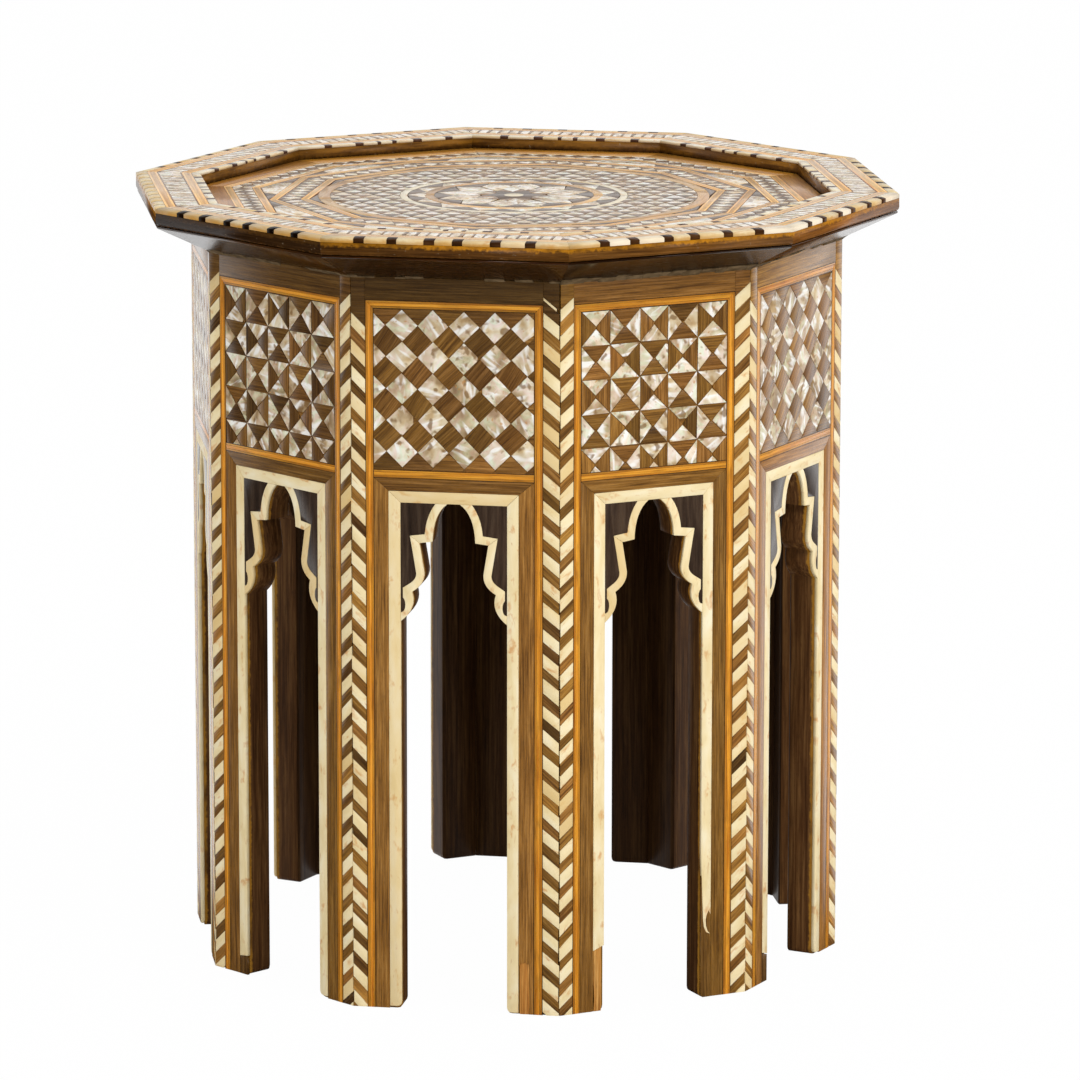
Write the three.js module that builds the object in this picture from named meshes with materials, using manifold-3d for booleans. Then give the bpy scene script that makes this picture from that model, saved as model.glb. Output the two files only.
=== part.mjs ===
import * as THREE from 'three';
import { mergeVertices } from 'three/addons/utils/BufferGeometryUtils.js';
import Module from 'manifold-3d';

// Ten-sided inlaid tray table: a carcass of ten mitred boards with lobed arches, a raised rim
// on a sloping cornice, and a skin of bone, mother-of-pearl and coloured wood.
// Millimetres, +Z up, the floor at z = 0, and side 01 faces -Y.

// Whole table
const sideCount = 10;
const overallHeight = 500;
const bodyCornerRadius = 214.7;
const topOverhang = 36.6; // from a corner of the body to the corner of the rim above it
const seatGap = 0.3; // glue line between two pieces that touch
const tiny = 0.001;

// Carcass boards and the marquetry let into them
const boardThickness = 20;
const inlayDepth = 2.4;
const inlayFootGap = 0.6; // the bone stops just short of the floor
const backingThickness = 0.9; // veneer that carries the pearl mosaics
const overrun = 2; // how far a cut runs past the face that it opens

// Top board and cornice
const topBoardThickness = 12.9;
const corniceHeight = 17.7;
const corniceToe = 0.8;
const corniceLip = 0.9;
const corniceSetback = 1;

// Rim and its bands
const rimWidth = 41;
const rimThickness = 11.8;
const rimUnderRound = 1.3;
const edgingWidth = 6.9;
const edgingDepth = 3.4;
const chamferWidth = 3;
const chamferDrop = 0.6;
const lipWidth = 5.5;
const lipDepth = 1.8;
const rimInlayThickness = 1.5;
const rimStringingWidth = 6.7;

// Tray floor, from the rim wall inwards
const trayDepth = 8.5;
const trayInlayThickness = 0.9;
const trayBorderWidth = 14.2;
const trayStringingWidth = 5.7;
const trayPearlBandWidth = 12.4;
const turnedPearlBandWidth = 13.7;
const circleStringingWidth = 7;
const circleSides = 36;

// Layout of one side, from the corners inwards and from the cornice down
const herringboneWidth = 9.5;
const stringingWidth = 5.4;
const friezeHeight = 14.7;
const mosaicHeight = 101.7;
const mosaicColumns = 5;
const mosaicRows = 5;
const surroundRailHeight = 8;
const boneFrameWidth = 7.4;

// Lobed arch: half of the opening, with its curves as shares of half the gap and of the head's height
const archHalfGap = 34.8;
const archHeadHeight = 75.9;
const archBandWidth = 5.4;
const archCurveSteps = 4;
const crownShare = 0.115;
const archCurveShares = [
  { bend: [0.388, 0.916], end: [0.402, 0.679] },
  { end: [0.647, 0.665] },
  { bend: [0.592, 0.52], end: [0.555, 0.415] },
  { bend: [0.545, 0.316], end: [0.787, 0.252] },
  { bend: [0.684, 0.112], end: [1, 0] },
];

// Angles and distances that follow from the sizes above
const halfAngle = Math.PI / sideCount;
const stepAngle = 2 * halfAngle;
const topCornerRadius = bodyCornerRadius + topOverhang;
const topApothem = topCornerRadius * Math.cos(halfAngle);
const bodyApothem = bodyCornerRadius * Math.cos(halfAngle);
const bodyHalfSide = bodyCornerRadius * Math.sin(halfAngle);
const boardBack = bodyApothem - boardThickness;
const pocketFloor = bodyApothem - inlayDepth;
const inlayBack = pocketFloor + seatGap;

const rimUnderside = overallHeight - rimThickness;
const rimInner = topApothem - rimWidth;
const topBoardTop = rimUnderside - seatGap;
const topBoardUnderside = topBoardTop - topBoardThickness;
const boardTop = topBoardUnderside - seatGap;
const corniceFoot = topBoardTop - corniceHeight;

const friezeFoot = corniceFoot - friezeHeight;
const mosaicTop = friezeFoot - stringingWidth;
const mosaicFoot = mosaicTop - mosaicHeight;
const surroundTop = mosaicFoot - stringingWidth;
const boneFrameTop = surroundTop - surroundRailHeight;
const archCrown = boneFrameTop - boneFrameWidth;
const archSpring = archCrown - archHeadHeight;
const stringingOuter = bodyHalfSide - herringboneWidth;
const mosaicHalfWidth = stringingOuter - stringingWidth;
const boneFrameOuter = archHalfGap + boneFrameWidth;

const walnut = new THREE.MeshStandardMaterial({ color: 0x5c3d20, roughness: 0.42, metalness: 0 });
const darkWalnut = new THREE.MeshStandardMaterial({ color: 0x33200f, roughness: 0.5, metalness: 0 });
const amberWood = new THREE.MeshStandardMaterial({ color: 0xc4842c, roughness: 0.4, metalness: 0 });
const bone = new THREE.MeshStandardMaterial({ color: 0xeadbb0, roughness: 0.38, metalness: 0 });
const pearl = new THREE.MeshStandardMaterial({ color: 0xd2c8ba, roughness: 0.25, metalness: 0 });

// Plane outlines
const spot = (across, up) => new THREE.Vector2(across, up);
const mirrored = (points) => points.map((point) => spot(-point.x, point.y)).reverse();
const rectangle = (left, right, low, high) => [spot(left, low), spot(right, low), spot(right, high), spot(left, high)];

function regularOutline(count, radius, turn) {
  return Array.from({ length: count }, (_, i) => {
    const angle = turn + (i * 2 * Math.PI) / count;
    return spot(radius * Math.sin(angle), -radius * Math.cos(angle));
  });
}

// Leaves out repeated points and points on a straight run, so that caps and walls share every corner.
function tidyOutline(points) {
  const apart = points.filter((point, i) => point.distanceTo(points[(i + 1) % points.length]) > tiny);
  return apart.filter((point, i) => {
    const before = apart[(i + apart.length - 1) % apart.length];
    const after = apart[(i + 1) % apart.length];
    const runIn = point.clone().sub(before);
    const runOut = after.clone().sub(point);
    return Math.abs(runIn.cross(runOut)) > tiny * runIn.length();
  });
}

// Moves each run of an outline to its left; a corner goes to where its two moved runs meet.
function shiftedLeft(points, distance, closed) {
  const last = points.length - 1;
  const leftOf = (from, to) => spot(from.y - to.y, to.x - from.x).normalize();
  return points.map((point, i) => {
    const before = closed || i > 0 ? points[(i + last) % (last + 1)] : null;
    const after = closed || i < last ? points[(i + 1) % (last + 1)] : null;
    const first = before ? leftOf(before, point) : leftOf(point, after);
    const second = after ? leftOf(point, after) : first;
    const middle = first.clone().add(second).normalize();
    return point.clone().addScaledVector(middle, distance / middle.dot(first));
  });
}

// Solids on a side. Each is made on side 01, which faces -Y, between two distances from the table's axis.
function slab(outline, back, front) {
  const shape = new THREE.Shape(tidyOutline(outline));
  const geometry = new THREE.ExtrudeGeometry(shape, { depth: front - back, bevelEnabled: false });
  geometry.rotateX(Math.PI / 2);
  geometry.translate(0, -back, 0);
  return geometry;
}

const mitreHalfWidth = (distance) => distance * Math.tan(halfAngle) - seatGap / 2 / Math.cos(halfAngle);

// Slants the edges that lie at the full half width, so that neighbouring sides meet in a mitre.
function mitred(geometry, fullHalfWidth) {
  const place = geometry.attributes.position;
  for (let i = 0; i < place.count; i += 1) {
    const across = place.getX(i);
    if (Math.abs(across) > fullHalfWidth - tiny) {
      place.setX(i, Math.sign(across) * mitreHalfWidth(-place.getY(i)));
    }
  }
  return geometry;
}

// A bar along a side with mitred ends; its section is in distance from the axis and height.
function mitredBar(section) {
  const shape = new THREE.Shape(section);
  const geometry = new THREE.ExtrudeGeometry(shape, { depth: 1, bevelEnabled: false });
  const place = geometry.attributes.position;
  for (let i = 0; i < place.count; i += 1) {
    const distance = place.getX(i);
    const height = place.getY(i);
    const end = place.getZ(i) > 0 ? -1 : 1;
    place.setXYZ(i, end * mitreHalfWidth(distance), -distance, height);
  }
  return geometry;
}

// Lies flat between two heights, and may have a hole.
function plate(outline, low, high, hole) {
  const shape = new THREE.Shape(outline);
  if (hole) {
    shape.holes.push(new THREE.Path(hole));
  }
  const geometry = new THREE.ExtrudeGeometry(shape, { depth: high - low, bevelEnabled: false });
  geometry.translate(0, 0, low);
  return geometry;
}

// A ten-sided hoop of any section round the table's axis, its corners over the corners of the sides.
function hoop(section, turn) {
  const laps = Array.from({ length: sideCount }, (_, i) => turn + i * stepAngle);
  const count = section.length;
  const vertices = laps.flatMap((angle) =>
    section.flatMap(({ x: distance, y: height }) => {
      const radius = distance / Math.cos(halfAngle);
      return [radius * Math.sin(angle), -radius * Math.cos(angle), height];
    }),
  );
  const faces = laps.flatMap((_, i) =>
    section.flatMap((__, k) => {
      const here = i * count;
      const there = ((i + 1) % sideCount) * count;
      const next = (k + 1) % count;
      return [here + k, there + k, here + next, there + k, there + next, here + next];
    }),
  );
  const geometry = new THREE.BufferGeometry();
  geometry.setAttribute('position', new THREE.Float32BufferAttribute(vertices, 3));
  geometry.setIndex(faces);
  return geometry;
}

// Joining and cutting
const manifold = await Module();
manifold.setup();

function solidOf(geometry) {
  const bare = geometry.clone();
  bare.deleteAttribute('normal');
  bare.deleteAttribute('uv');
  const merged = mergeVertices(bare, tiny);
  const vertProperties = new Float32Array(merged.attributes.position.array);
  const triVerts = new Uint32Array(merged.index.array);
  return new manifold.Manifold(new manifold.Mesh({ numProp: 3, vertProperties, triVerts }));
}

function geometryOf(solid) {
  const mesh = solid.getMesh();
  const geometry = new THREE.BufferGeometry();
  geometry.setAttribute('position', new THREE.Float32BufferAttribute(mesh.vertProperties, 3));
  geometry.setIndex(new THREE.Uint32BufferAttribute(mesh.triVerts, 1));
  return geometry;
}

const cutFrom = (geometry, cutters) =>
  geometryOf(cutters.reduce((solid, cutter) => solid.subtract(solidOf(cutter)), solidOf(geometry)));
const joined = (geometries) => geometryOf(geometries.map(solidOf).reduce((solid, more) => solid.add(more)));

// Scene graph
const table = new THREE.Group();
const sides = Array.from({ length: sideCount }, (_, i) => {
  const side = new THREE.Group();
  side.rotation.z = i * stepAngle;
  table.add(side);
  return side;
});

function addPiece(name, geometry, material, parent = table) {
  const mesh = new THREE.Mesh(geometry, material);
  mesh.name = name;
  parent.add(mesh);
}

function addToEachSide(name, make, material) {
  sides.forEach((side, i) => {
    addPiece(`${name}_${String(i + 1).padStart(2, '0')}`, make(i), material, side);
  });
}

// Half of the arch opening, from the crown down to the springing on the right.
function archEdge() {
  const place = ([across, up]) => spot(across * archHalfGap, archSpring + up * archHeadHeight);
  const path = new THREE.Path([place([crownShare, 1])]);
  archCurveShares.forEach(({ bend, end }) => {
    const to = place(end);
    if (bend) {
      const by = place(bend);
      path.quadraticCurveTo(by.x, by.y, to.x, to.y);
    } else {
      path.lineTo(to.x, to.y);
    }
  });
  return path.getPoints(archCurveSteps);
}

const openingEdge = archEdge();

// Where the line through two points reaches a given value of x or y.
const meetingAt = (from, to, axis, value) => from.clone().lerp(to, (value - from[axis]) / (to[axis] - from[axis]));

// The dark ground between the bone frame and the arch band, on the right.
function spandrel(clearance) {
  const side = archHalfGap - clearance;
  const head = archCrown - clearance;
  const aboveLobe = openingEdge.slice(0, openingEdge.length - archCurveSteps);
  const run = shiftedLeft(aboveLobe, archBandWidth + clearance, false);
  const first = run.findIndex((point) => point.y < head);
  const top = meetingAt(run[first - 1], run[first], 'y', head);
  const foot = meetingAt(run.at(-2), run.at(-1), 'x', side);
  return [top, ...run.slice(first, -1), foot, spot(side, head)];
}

function spandrelCutters(clearance) {
  const right = spandrel(clearance);
  return [right, mirrored(right)].map((half) => slab(half, pocketFloor - overrun, bodyApothem + 2 * overrun));
}

const openingFrom = (foot) => [
  spot(-archHalfGap, foot),
  ...mirrored(openingEdge),
  ...openingEdge,
  spot(archHalfGap, foot),
];

// A board with its arch, sunk where the bone and the mosaic lie; the spandrels stay up as islands.
function sidePanel() {
  const outline = [
    spot(-bodyHalfSide, 0),
    ...openingFrom(0),
    spot(bodyHalfSide, 0),
    spot(bodyHalfSide, boardTop),
    spot(-bodyHalfSide, boardTop),
  ];
  const board = mitred(slab(outline, boardBack, bodyApothem), bodyHalfSide);
  const beyond = bodyApothem + overrun;
  const boneSide = boneFrameOuter + seatGap;
  const boneBed = slab(rectangle(-boneSide, boneSide, -overrun, boneFrameTop + seatGap), pocketFloor, beyond);
  const mosaicSide = mosaicHalfWidth + seatGap;
  const mosaicEdge = rectangle(-mosaicSide, mosaicSide, mosaicFoot - seatGap, mosaicTop + seatGap);
  const mosaicBed = slab(mosaicEdge, pocketFloor, beyond);
  return cutFrom(board, [cutFrom(boneBed, spandrelCutters(seatGap)), mosaicBed]);
}

// Bone stiles, head rail and the lobed band that edges the arch.
function boneArch() {
  const outline = [
    spot(-boneFrameOuter, inlayFootGap),
    ...openingFrom(inlayFootGap),
    spot(boneFrameOuter, inlayFootGap),
    spot(boneFrameOuter, boneFrameTop),
    spot(-boneFrameOuter, boneFrameTop),
  ];
  return cutFrom(slab(outline, inlayBack, bodyApothem), spandrelCutters(0));
}

const cellWidth = (2 * mosaicHalfWidth) / mosaicColumns;
const cellHeight = mosaicHeight / mosaicRows;
const backingFront = inlayBack + backingThickness;

const tessera = (outline) => slab(shiftedLeft(outline, seatGap / 2, true), (inlayBack + backingFront) / 2, bodyApothem);

function eachCell(visit) {
  const cells = Array.from({ length: mosaicRows * mosaicColumns }, (_, i) => i);
  return cells.flatMap((i) => {
    const column = i % mosaicColumns;
    const row = Math.floor(i / mosaicColumns);
    const left = -mosaicHalfWidth + column * cellWidth;
    const high = mosaicTop - row * cellHeight;
    return visit(left, left + cellWidth, high - cellHeight, high, row, column);
  });
}

// Squares set on their corners, point to point; each row starts and ends with half a square.
function squareTesserae() {
  return eachCell((left, right, low, high, row, column) => {
    const middle = (low + high) / 2;
    const centre = (left + right) / 2;
    const half = [spot(centre, middle), spot(right, low), spot(right, high)];
    const square = [spot(centre, middle), spot(right, low), spot(centre + cellWidth, middle), spot(right, high)];
    const first = [spot(left, low), spot(centre, middle), spot(left, high)];
    const outlines = column < mosaicColumns - 1 ? [square] : [half];
    return (column === 0 ? [first, ...outlines] : outlines).map(tessera);
  });
}

// Each cell is cut by its diagonals, and its pearl pair lies upright or across in turn.
function triangleTesserae() {
  return eachCell((left, right, low, high, row, column) => {
    const centre = spot((left + right) / 2, (low + high) / 2);
    if ((row + column) % 2 === 0) {
      return [
        tessera([spot(left, low), spot(right, low), centre]),
        tessera([spot(right, high), spot(left, high), centre]),
      ];
    }
    return [
      tessera([spot(left, high), spot(left, low), centre]),
      tessera([spot(right, low), spot(right, high), centre]),
    ];
  });
}

function mosaicPanel(sideIndex) {
  const outline = rectangle(-mosaicHalfWidth, mosaicHalfWidth, mosaicFoot, mosaicTop);
  const backing = slab(outline, inlayBack, backingFront);
  const tesserae = sideIndex % 2 === 0 ? squareTesserae() : triangleTesserae();
  return joined([backing, ...tesserae]);
}

function corniceMoulding() {
  const back = bodyApothem + seatGap;
  const front = topApothem - corniceSetback;
  return mitredBar([
    spot(back, corniceFoot),
    spot(back + corniceToe, corniceFoot),
    spot(front, topBoardTop - corniceLip),
    spot(front, topBoardTop),
    spot(back, topBoardTop),
  ]);
}

// The rim's wood, with rebates for the edging and the lip and a lower bed for the bands between them.
function rimSegment() {
  const bedHeight = overallHeight - rimInlayThickness - seatGap;
  const edgingBed = overallHeight - edgingDepth - seatGap;
  const lipBed = overallHeight - lipDepth - seatGap;
  const bedOuter = topApothem - edgingWidth - seatGap;
  const bedInner = rimInner + lipWidth + seatGap;
  return mitredBar([
    spot(rimInner, rimUnderside),
    spot(topApothem - rimUnderRound, rimUnderside),
    spot(topApothem, rimUnderside + rimUnderRound),
    spot(topApothem, edgingBed),
    spot(bedOuter, edgingBed),
    spot(bedOuter, bedHeight),
    spot(bedInner, bedHeight),
    spot(bedInner, lipBed),
    spot(rimInner, lipBed),
  ]);
}

const rimHoop = (section) => hoop(section, halfAngle);
const rimBandOuter = topApothem - edgingWidth;
const rimBandInner = rimInner + lipWidth;
const rimBand = (inner, outer) =>
  rimHoop(rectangle(inner + seatGap / 2, outer - seatGap / 2, overallHeight - rimInlayThickness, overallHeight));

const rimEdging = rimHoop([
  spot(topApothem - edgingWidth, overallHeight - edgingDepth),
  spot(topApothem, overallHeight - edgingDepth),
  spot(topApothem, overallHeight - chamferDrop),
  spot(topApothem - chamferWidth, overallHeight),
  spot(topApothem - edgingWidth, overallHeight),
]);
const rimLip = rimHoop(rectangle(rimInner, rimInner + lipWidth, overallHeight - lipDepth, overallHeight));

// Tray floor: each ring is worked out from the one outside it, and lies in a groove of its own.
const trayFloor = overallHeight - trayDepth;
const trayEdge = rimInner - seatGap;
const stringingEdge = trayEdge - trayBorderWidth;
const innerStringingEdge = stringingEdge - trayStringingWidth - trayPearlBandWidth;
const turnedCorner = innerStringingEdge - trayStringingWidth - seatGap;
const turnedEdge = turnedCorner * Math.cos(halfAngle);
const turnedInnerEdge = turnedEdge - trayStringingWidth - turnedPearlBandWidth;
const circleRadius = turnedInnerEdge - trayStringingWidth - seatGap;

function ringPlate(count, outerRadius, innerRadius, turn, low, high) {
  const outline = regularOutline(count, outerRadius, turn);
  return plate(outline, low, high, regularOutline(count, innerRadius, turn).reverse());
}

const rings = {
  tray_outer_stringing: { count: sideCount, edge: stringingEdge, width: trayStringingWidth, turn: halfAngle },
  tray_turned_stringing: { count: sideCount, edge: turnedEdge, width: trayStringingWidth, turn: 0 },
  tray_circle_ring: { count: circleSides, edge: circleRadius, width: circleStringingWidth, turn: 0 },
};

function trayRing({ count, edge, width, turn }, clearance, low, high) {
  const corner = 1 / Math.cos(Math.PI / count);
  const outer = (edge + clearance) * corner;
  const inner = (edge - width - clearance) * corner;
  return ringPlate(count, outer, inner, turn, low, high);
}

function trayPanel() {
  const sheet = plate(regularOutline(sideCount, trayEdge / Math.cos(halfAngle), halfAngle), rimUnderside, trayFloor);
  const grooveFloor = trayFloor - trayInlayThickness - seatGap;
  const grooves = Object.values(rings).map((ring) => trayRing(ring, seatGap, grooveFloor, trayFloor + overrun));
  return cutFrom(sheet, grooves);
}

const topBoard = () => plate(regularOutline(sideCount, bodyCornerRadius, halfAngle), topBoardUnderside, topBoardTop);

addToEachSide('side_panel', sidePanel, darkWalnut);
addToEachSide('bone_arch', boneArch, bone);
addToEachSide('mosaic_panel', mosaicPanel, pearl);
addToEachSide('cornice_moulding', corniceMoulding, walnut);
addToEachSide('rim_segment', rimSegment, walnut);

addPiece('rim_bone_edging', rimEdging, bone);
addPiece('rim_bone_lip', rimLip, bone);
addPiece('rim_pearl_band', rimBand(rimBandInner + rimStringingWidth, rimBandOuter - rimStringingWidth), pearl);
addPiece('rim_outer_stringing', rimBand(rimBandOuter - rimStringingWidth, rimBandOuter), amberWood);
addPiece('rim_inner_stringing', rimBand(rimBandInner, rimBandInner + rimStringingWidth), amberWood);
addPiece('top_board', topBoard(), darkWalnut);
addPiece('tray_panel', trayPanel(), walnut);
Object.entries(rings).forEach(([name, ring]) => {
  addPiece(name, trayRing(ring, 0, trayFloor - trayInlayThickness, trayFloor), amberWood);
});

export default table;
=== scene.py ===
import bpy
import numpy as np
from mathutils import Matrix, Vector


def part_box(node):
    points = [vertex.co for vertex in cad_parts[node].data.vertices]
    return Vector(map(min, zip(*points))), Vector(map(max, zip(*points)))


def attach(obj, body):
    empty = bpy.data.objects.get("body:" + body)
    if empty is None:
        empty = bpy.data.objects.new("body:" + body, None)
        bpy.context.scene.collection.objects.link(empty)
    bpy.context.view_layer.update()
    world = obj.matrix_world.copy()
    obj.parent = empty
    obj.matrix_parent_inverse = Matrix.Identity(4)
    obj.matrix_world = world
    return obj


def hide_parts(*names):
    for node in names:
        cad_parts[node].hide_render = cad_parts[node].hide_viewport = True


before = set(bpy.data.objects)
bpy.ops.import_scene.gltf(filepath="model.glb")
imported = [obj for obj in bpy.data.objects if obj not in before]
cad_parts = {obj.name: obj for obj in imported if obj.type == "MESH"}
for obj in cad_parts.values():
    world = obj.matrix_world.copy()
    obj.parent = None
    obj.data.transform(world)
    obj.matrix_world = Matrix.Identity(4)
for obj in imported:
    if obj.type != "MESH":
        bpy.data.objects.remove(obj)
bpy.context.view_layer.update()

mm = 0.001
sideCount = 10
stepAngle = 2 * np.pi / sideCount
halfAngle = stepAngle / 2
slope = np.tan(halfAngle)  # half a side's width for each unit of distance from the axis
seed = 1894


def nodeBox(node):
    # lowest and highest corner of a CAD node, in millimetres
    low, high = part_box(node)
    return np.array(low) / mm, np.array(high) / mm


def numbered(name):
    return [f"{name}_{i + 1:02d}" for i in range(sideCount)]


# Sizes that the frame gives
boardLow, boardHigh = nodeBox("side_panel_01")
boneLow, boneHigh = nodeBox("bone_arch_01")
mosaicLow, mosaicHigh = nodeBox("mosaic_panel_01")
corniceLow, corniceHigh = nodeBox("cornice_moulding_01")
rimLow, rimHigh = nodeBox("rim_segment_01")
edgingLow, edgingHigh = nodeBox("rim_bone_edging")
lipFoot = nodeBox("rim_bone_lip")[0][2]
trayLow, trayHigh = nodeBox("tray_panel")

faceOut, faceIn, boardTop = -boardLow[1], -boardHigh[1], boardHigh[2]
halfSide = faceOut * slope
frameHalf, frameTop, boneFoot, boneBack = boneHigh[0], boneHigh[2], boneLow[2], float(-boneHigh[1])
mosaicHalf, mosaicFoot, mosaicTop = mosaicHigh[0], mosaicLow[2], mosaicHigh[2]
corniceFoot, corniceTop = corniceLow[2], corniceHigh[2]
corniceIn, corniceOut = -corniceHigh[1], -corniceLow[1]
rimIn, rimOut, rimFoot, rimTop = -rimHigh[1], -rimLow[1], rimLow[2], edgingHigh[2]
trayTop = trayHigh[2]
print("frame read, side width", round(2 * halfSide, 1), "mm")


# Finishes
class Field:
    # an output of a shader node, which adds, subtracts and multiplies like a number
    def __init__(self, socket):
        self.socket, self.tree = socket, socket.id_data

    def __add__(self, other):
        return addMath("ADD", self, other)

    def __sub__(self, other):
        return addMath("SUBTRACT", self, other)

    def __rsub__(self, other):
        return addMath("SUBTRACT", other, self)

    def __mul__(self, other):
        return addMath("MULTIPLY", self, other)


def paint(red, green, blue):
    # sRGB 0-255 to Blender's linear colour
    share = np.array([red, green, blue]) / 255
    linear = np.where(share <= 0.04045, share / 12.92, ((share + 0.055) / 1.055) ** 2.4)
    return (*linear.tolist(), 1.0)


def feed(socket, value):
    if isinstance(value, Field):
        socket.id_data.links.new(value.socket, socket)
    else:
        socket.default_value = value


def addNode(tree, kind, inputs=None, output=0, **settings):
    # a node with its settings and inputs; gives the named output where it has any
    made = tree.nodes.new("ShaderNode" + kind)
    for key, value in settings.items():
        setattr(made, key, value)
    for key, value in (inputs or {}).items():
        feed(made.inputs[key], value)
    return Field(made.outputs[output]) if len(made.outputs) else None


def addMath(operation, first, second=0.0):
    tree = first.tree if isinstance(first, Field) else second.tree
    return addNode(tree, "Math", {0: first, 1: second}, operation=operation)


def addRamp(field, *stops):
    # a stop is a place with a grey, or with red, green and blue
    made = field.tree.nodes.new("ShaderNodeValToRGB")
    feed(made.inputs[0], field)
    elements = made.color_ramp.elements
    while len(elements) < len(stops):
        elements.new(0.5)
    for element, (place, *colour) in zip(elements, stops):
        element.position = place
        element.color = paint(*colour) if len(colour) == 3 else (*colour * 3, 1.0)
    return Field(made.outputs[0])


def addMix(factor, first, second, blend="MIX"):
    # colours are fields, or red, green and blue
    made = first.tree.nodes.new("ShaderNodeMix")
    made.data_type, made.blend_type = "RGBA", blend
    for i, value in ((0, factor), (6, first), (7, second)):
        feed(made.inputs[i], paint(*value) if isinstance(value, tuple) else value)
    return Field(made.outputs[2])


def shaded(colour, field):
    return addMix(1.0, colour, field, "MULTIPLY")


def stained(colour, stain, field, *stops):
    return addMix(addRamp(field, *stops), colour, stain)


def addNoise(vector, scale, detail=2.0, roughness=0.5, distortion=0.0, stretch=None):
    if stretch is not None:
        vector = addNode(vector.tree, "Mapping", {"Vector": vector, "Scale": stretch})
    inputs = {"Vector": vector, "Scale": scale, "Detail": detail, "Roughness": roughness, "Distortion": distortion}
    return addNode(vector.tree, "TexNoise", inputs)


def vectorMath(operation, *vectors, output=0):
    return addNode(vectors[0].tree, "VectorMath", dict(enumerate(vectors)), output, operation=operation)


def objectPlace(tree):
    return addNode(tree, "TexCoord", output="Object")


def begin(name):
    # an empty material, with each tile's own lightness, tint and wear, 0 to 1, and the grain map
    material = bpy.data.materials.new(name)
    material.use_nodes = True
    tree = material.node_tree
    tree.nodes.clear()
    colour = addNode(tree, "Attribute", output="Color", attribute_name="tone")
    tones = [addNode(tree, "SeparateColor", {"Color": colour}, i) for i in range(3)]
    return material, tones, addNode(tree, "UVMap", uv_map="grain")


def varnished(material, look, colour, tones, roughness, height):
    if "glaze" in look:
        colour = look["glaze"](colour, tones)
    tree = material.node_tree
    relief = {"Strength": look["bump"], "Distance": look.get("relief", 0.2) * mm, "Height": height}
    shader = addNode(tree, "BsdfPrincipled", {
        "Base Color": colour, "Roughness": roughness, "Normal": addNode(tree, "Bump", relief),
        "Coat Weight": look["coat"], "Coat Roughness": look["coatRough"], "Specular IOR Level": look["shine"],
    })
    addNode(tree, "OutputMaterial", {"Surface": shader})
    return material


def woodFinish(name, look):
    # colour = ramp of broad bands and fine lines along the grain, darkened by smudges, fibres and
    # short pores, lightened and tinted by the tile's tone; the grain runs along U of the grain
    # map, or along Z of the object
    material, tones, grain = begin(name)
    upright = look.get("upright", False)
    if upright:
        centimetres = addNode(grain.tree, "Mapping", {"Vector": objectPlace(grain.tree), "Scale": (100, 100, 100)})
        lot = tones[1] * 40.0
        grain = vectorMath("ADD", centimetres, addNode(grain.tree, "CombineXYZ", {"X": lot, "Y": lot, "Z": lot}))

    def streaks(along, across, detail, roughness, distortion):
        stretch = (across, across, along) if upright else (along, across, 1.0)
        return addNoise(grain, 1.0, detail, roughness, distortion, stretch)

    band = streaks(look["along"], look["bands"], 3.0, 0.55, 0.7)
    line = streaks(look["along"] * 1.7, look["lines"], 2.0, 0.6, 0.3)
    fibre = streaks(0.7, 16.0, 3.0, 0.7, 0.2)
    pore = streaks(2.4, 34.0, 1.0, 0.5, 0.0)
    smudge = streaks(0.5, 2.2, 2.0, 0.5, 0.4)
    colour = addRamp(band * 0.42 + line * 0.58, *look["stops"])
    colour = shaded(colour, addRamp(smudge, (0.55, 1.0), (0.72, 1.0 - look["smudges"])))
    colour = shaded(colour, addRamp(fibre, (0.3, 1.0 - look["fibres"]), (0.7, 1.0)))
    colour = shaded(colour, addRamp(pore, (0.6, 1.0), (0.7, 1.0 - look["pores"])))
    light = addRamp(tones[0], (0.0, 0.5 - look["spread"] / 2), (1.0, 0.5 + look["spread"] / 2))
    colour = shaded(colour, vectorMath("MULTIPLY", light, (2.0, 2.0, 2.0)))
    colour = shaded(colour, addRamp(tones[1], *look["tints"]))
    roughness = addRamp(fibre, (0.2, look["rough"] + 0.1), (0.8, look["rough"] - 0.06))
    return varnished(material, look, colour, tones, roughness, fibre - pore * 0.6)


def boneFinish(name, look):
    # colour = ramp of soft streaks, with thin brown specks along the grain, small orange knots
    # and a yellowed tone
    material, tones, grain = begin(name)
    cloud = addNoise(grain, 1.0, 3.0, 0.55, 0.3, (0.35, 1.1, 1.0))
    speck = addNoise(grain, 1.0, 2.0, 0.6, 0.5, (0.9, 5.0, 1.0))
    knot = addNoise(grain, 1.0, 3.0, 0.6, 0.3, (0.8, 1.6, 1.0))
    fine = addNoise(grain, 1.0, 2.0, 0.6, 0.0, (3.0, 24.0, 1.0))
    colour = addRamp(cloud, *look["stops"])
    colour = stained(colour, look["speck"], speck, (0.66, 0.0), (0.8, look["specks"]))
    colour = stained(colour, look["knot"], knot, (0.57, 0.0), (0.7, look["knots"]))
    colour = stained(colour, look["old"], tones[2], (0.72, 0.0), (1.0, look["aged"]))
    colour = shaded(colour, addRamp(tones[0], (0.0, 1.0 - look["spread"]), (1.0, 1.0)))
    roughness = addRamp(fine, (0.2, look["rough"] + 0.08), (0.8, look["rough"] - 0.05))
    return varnished(material, look, colour, tones, roughness, fine)


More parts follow.
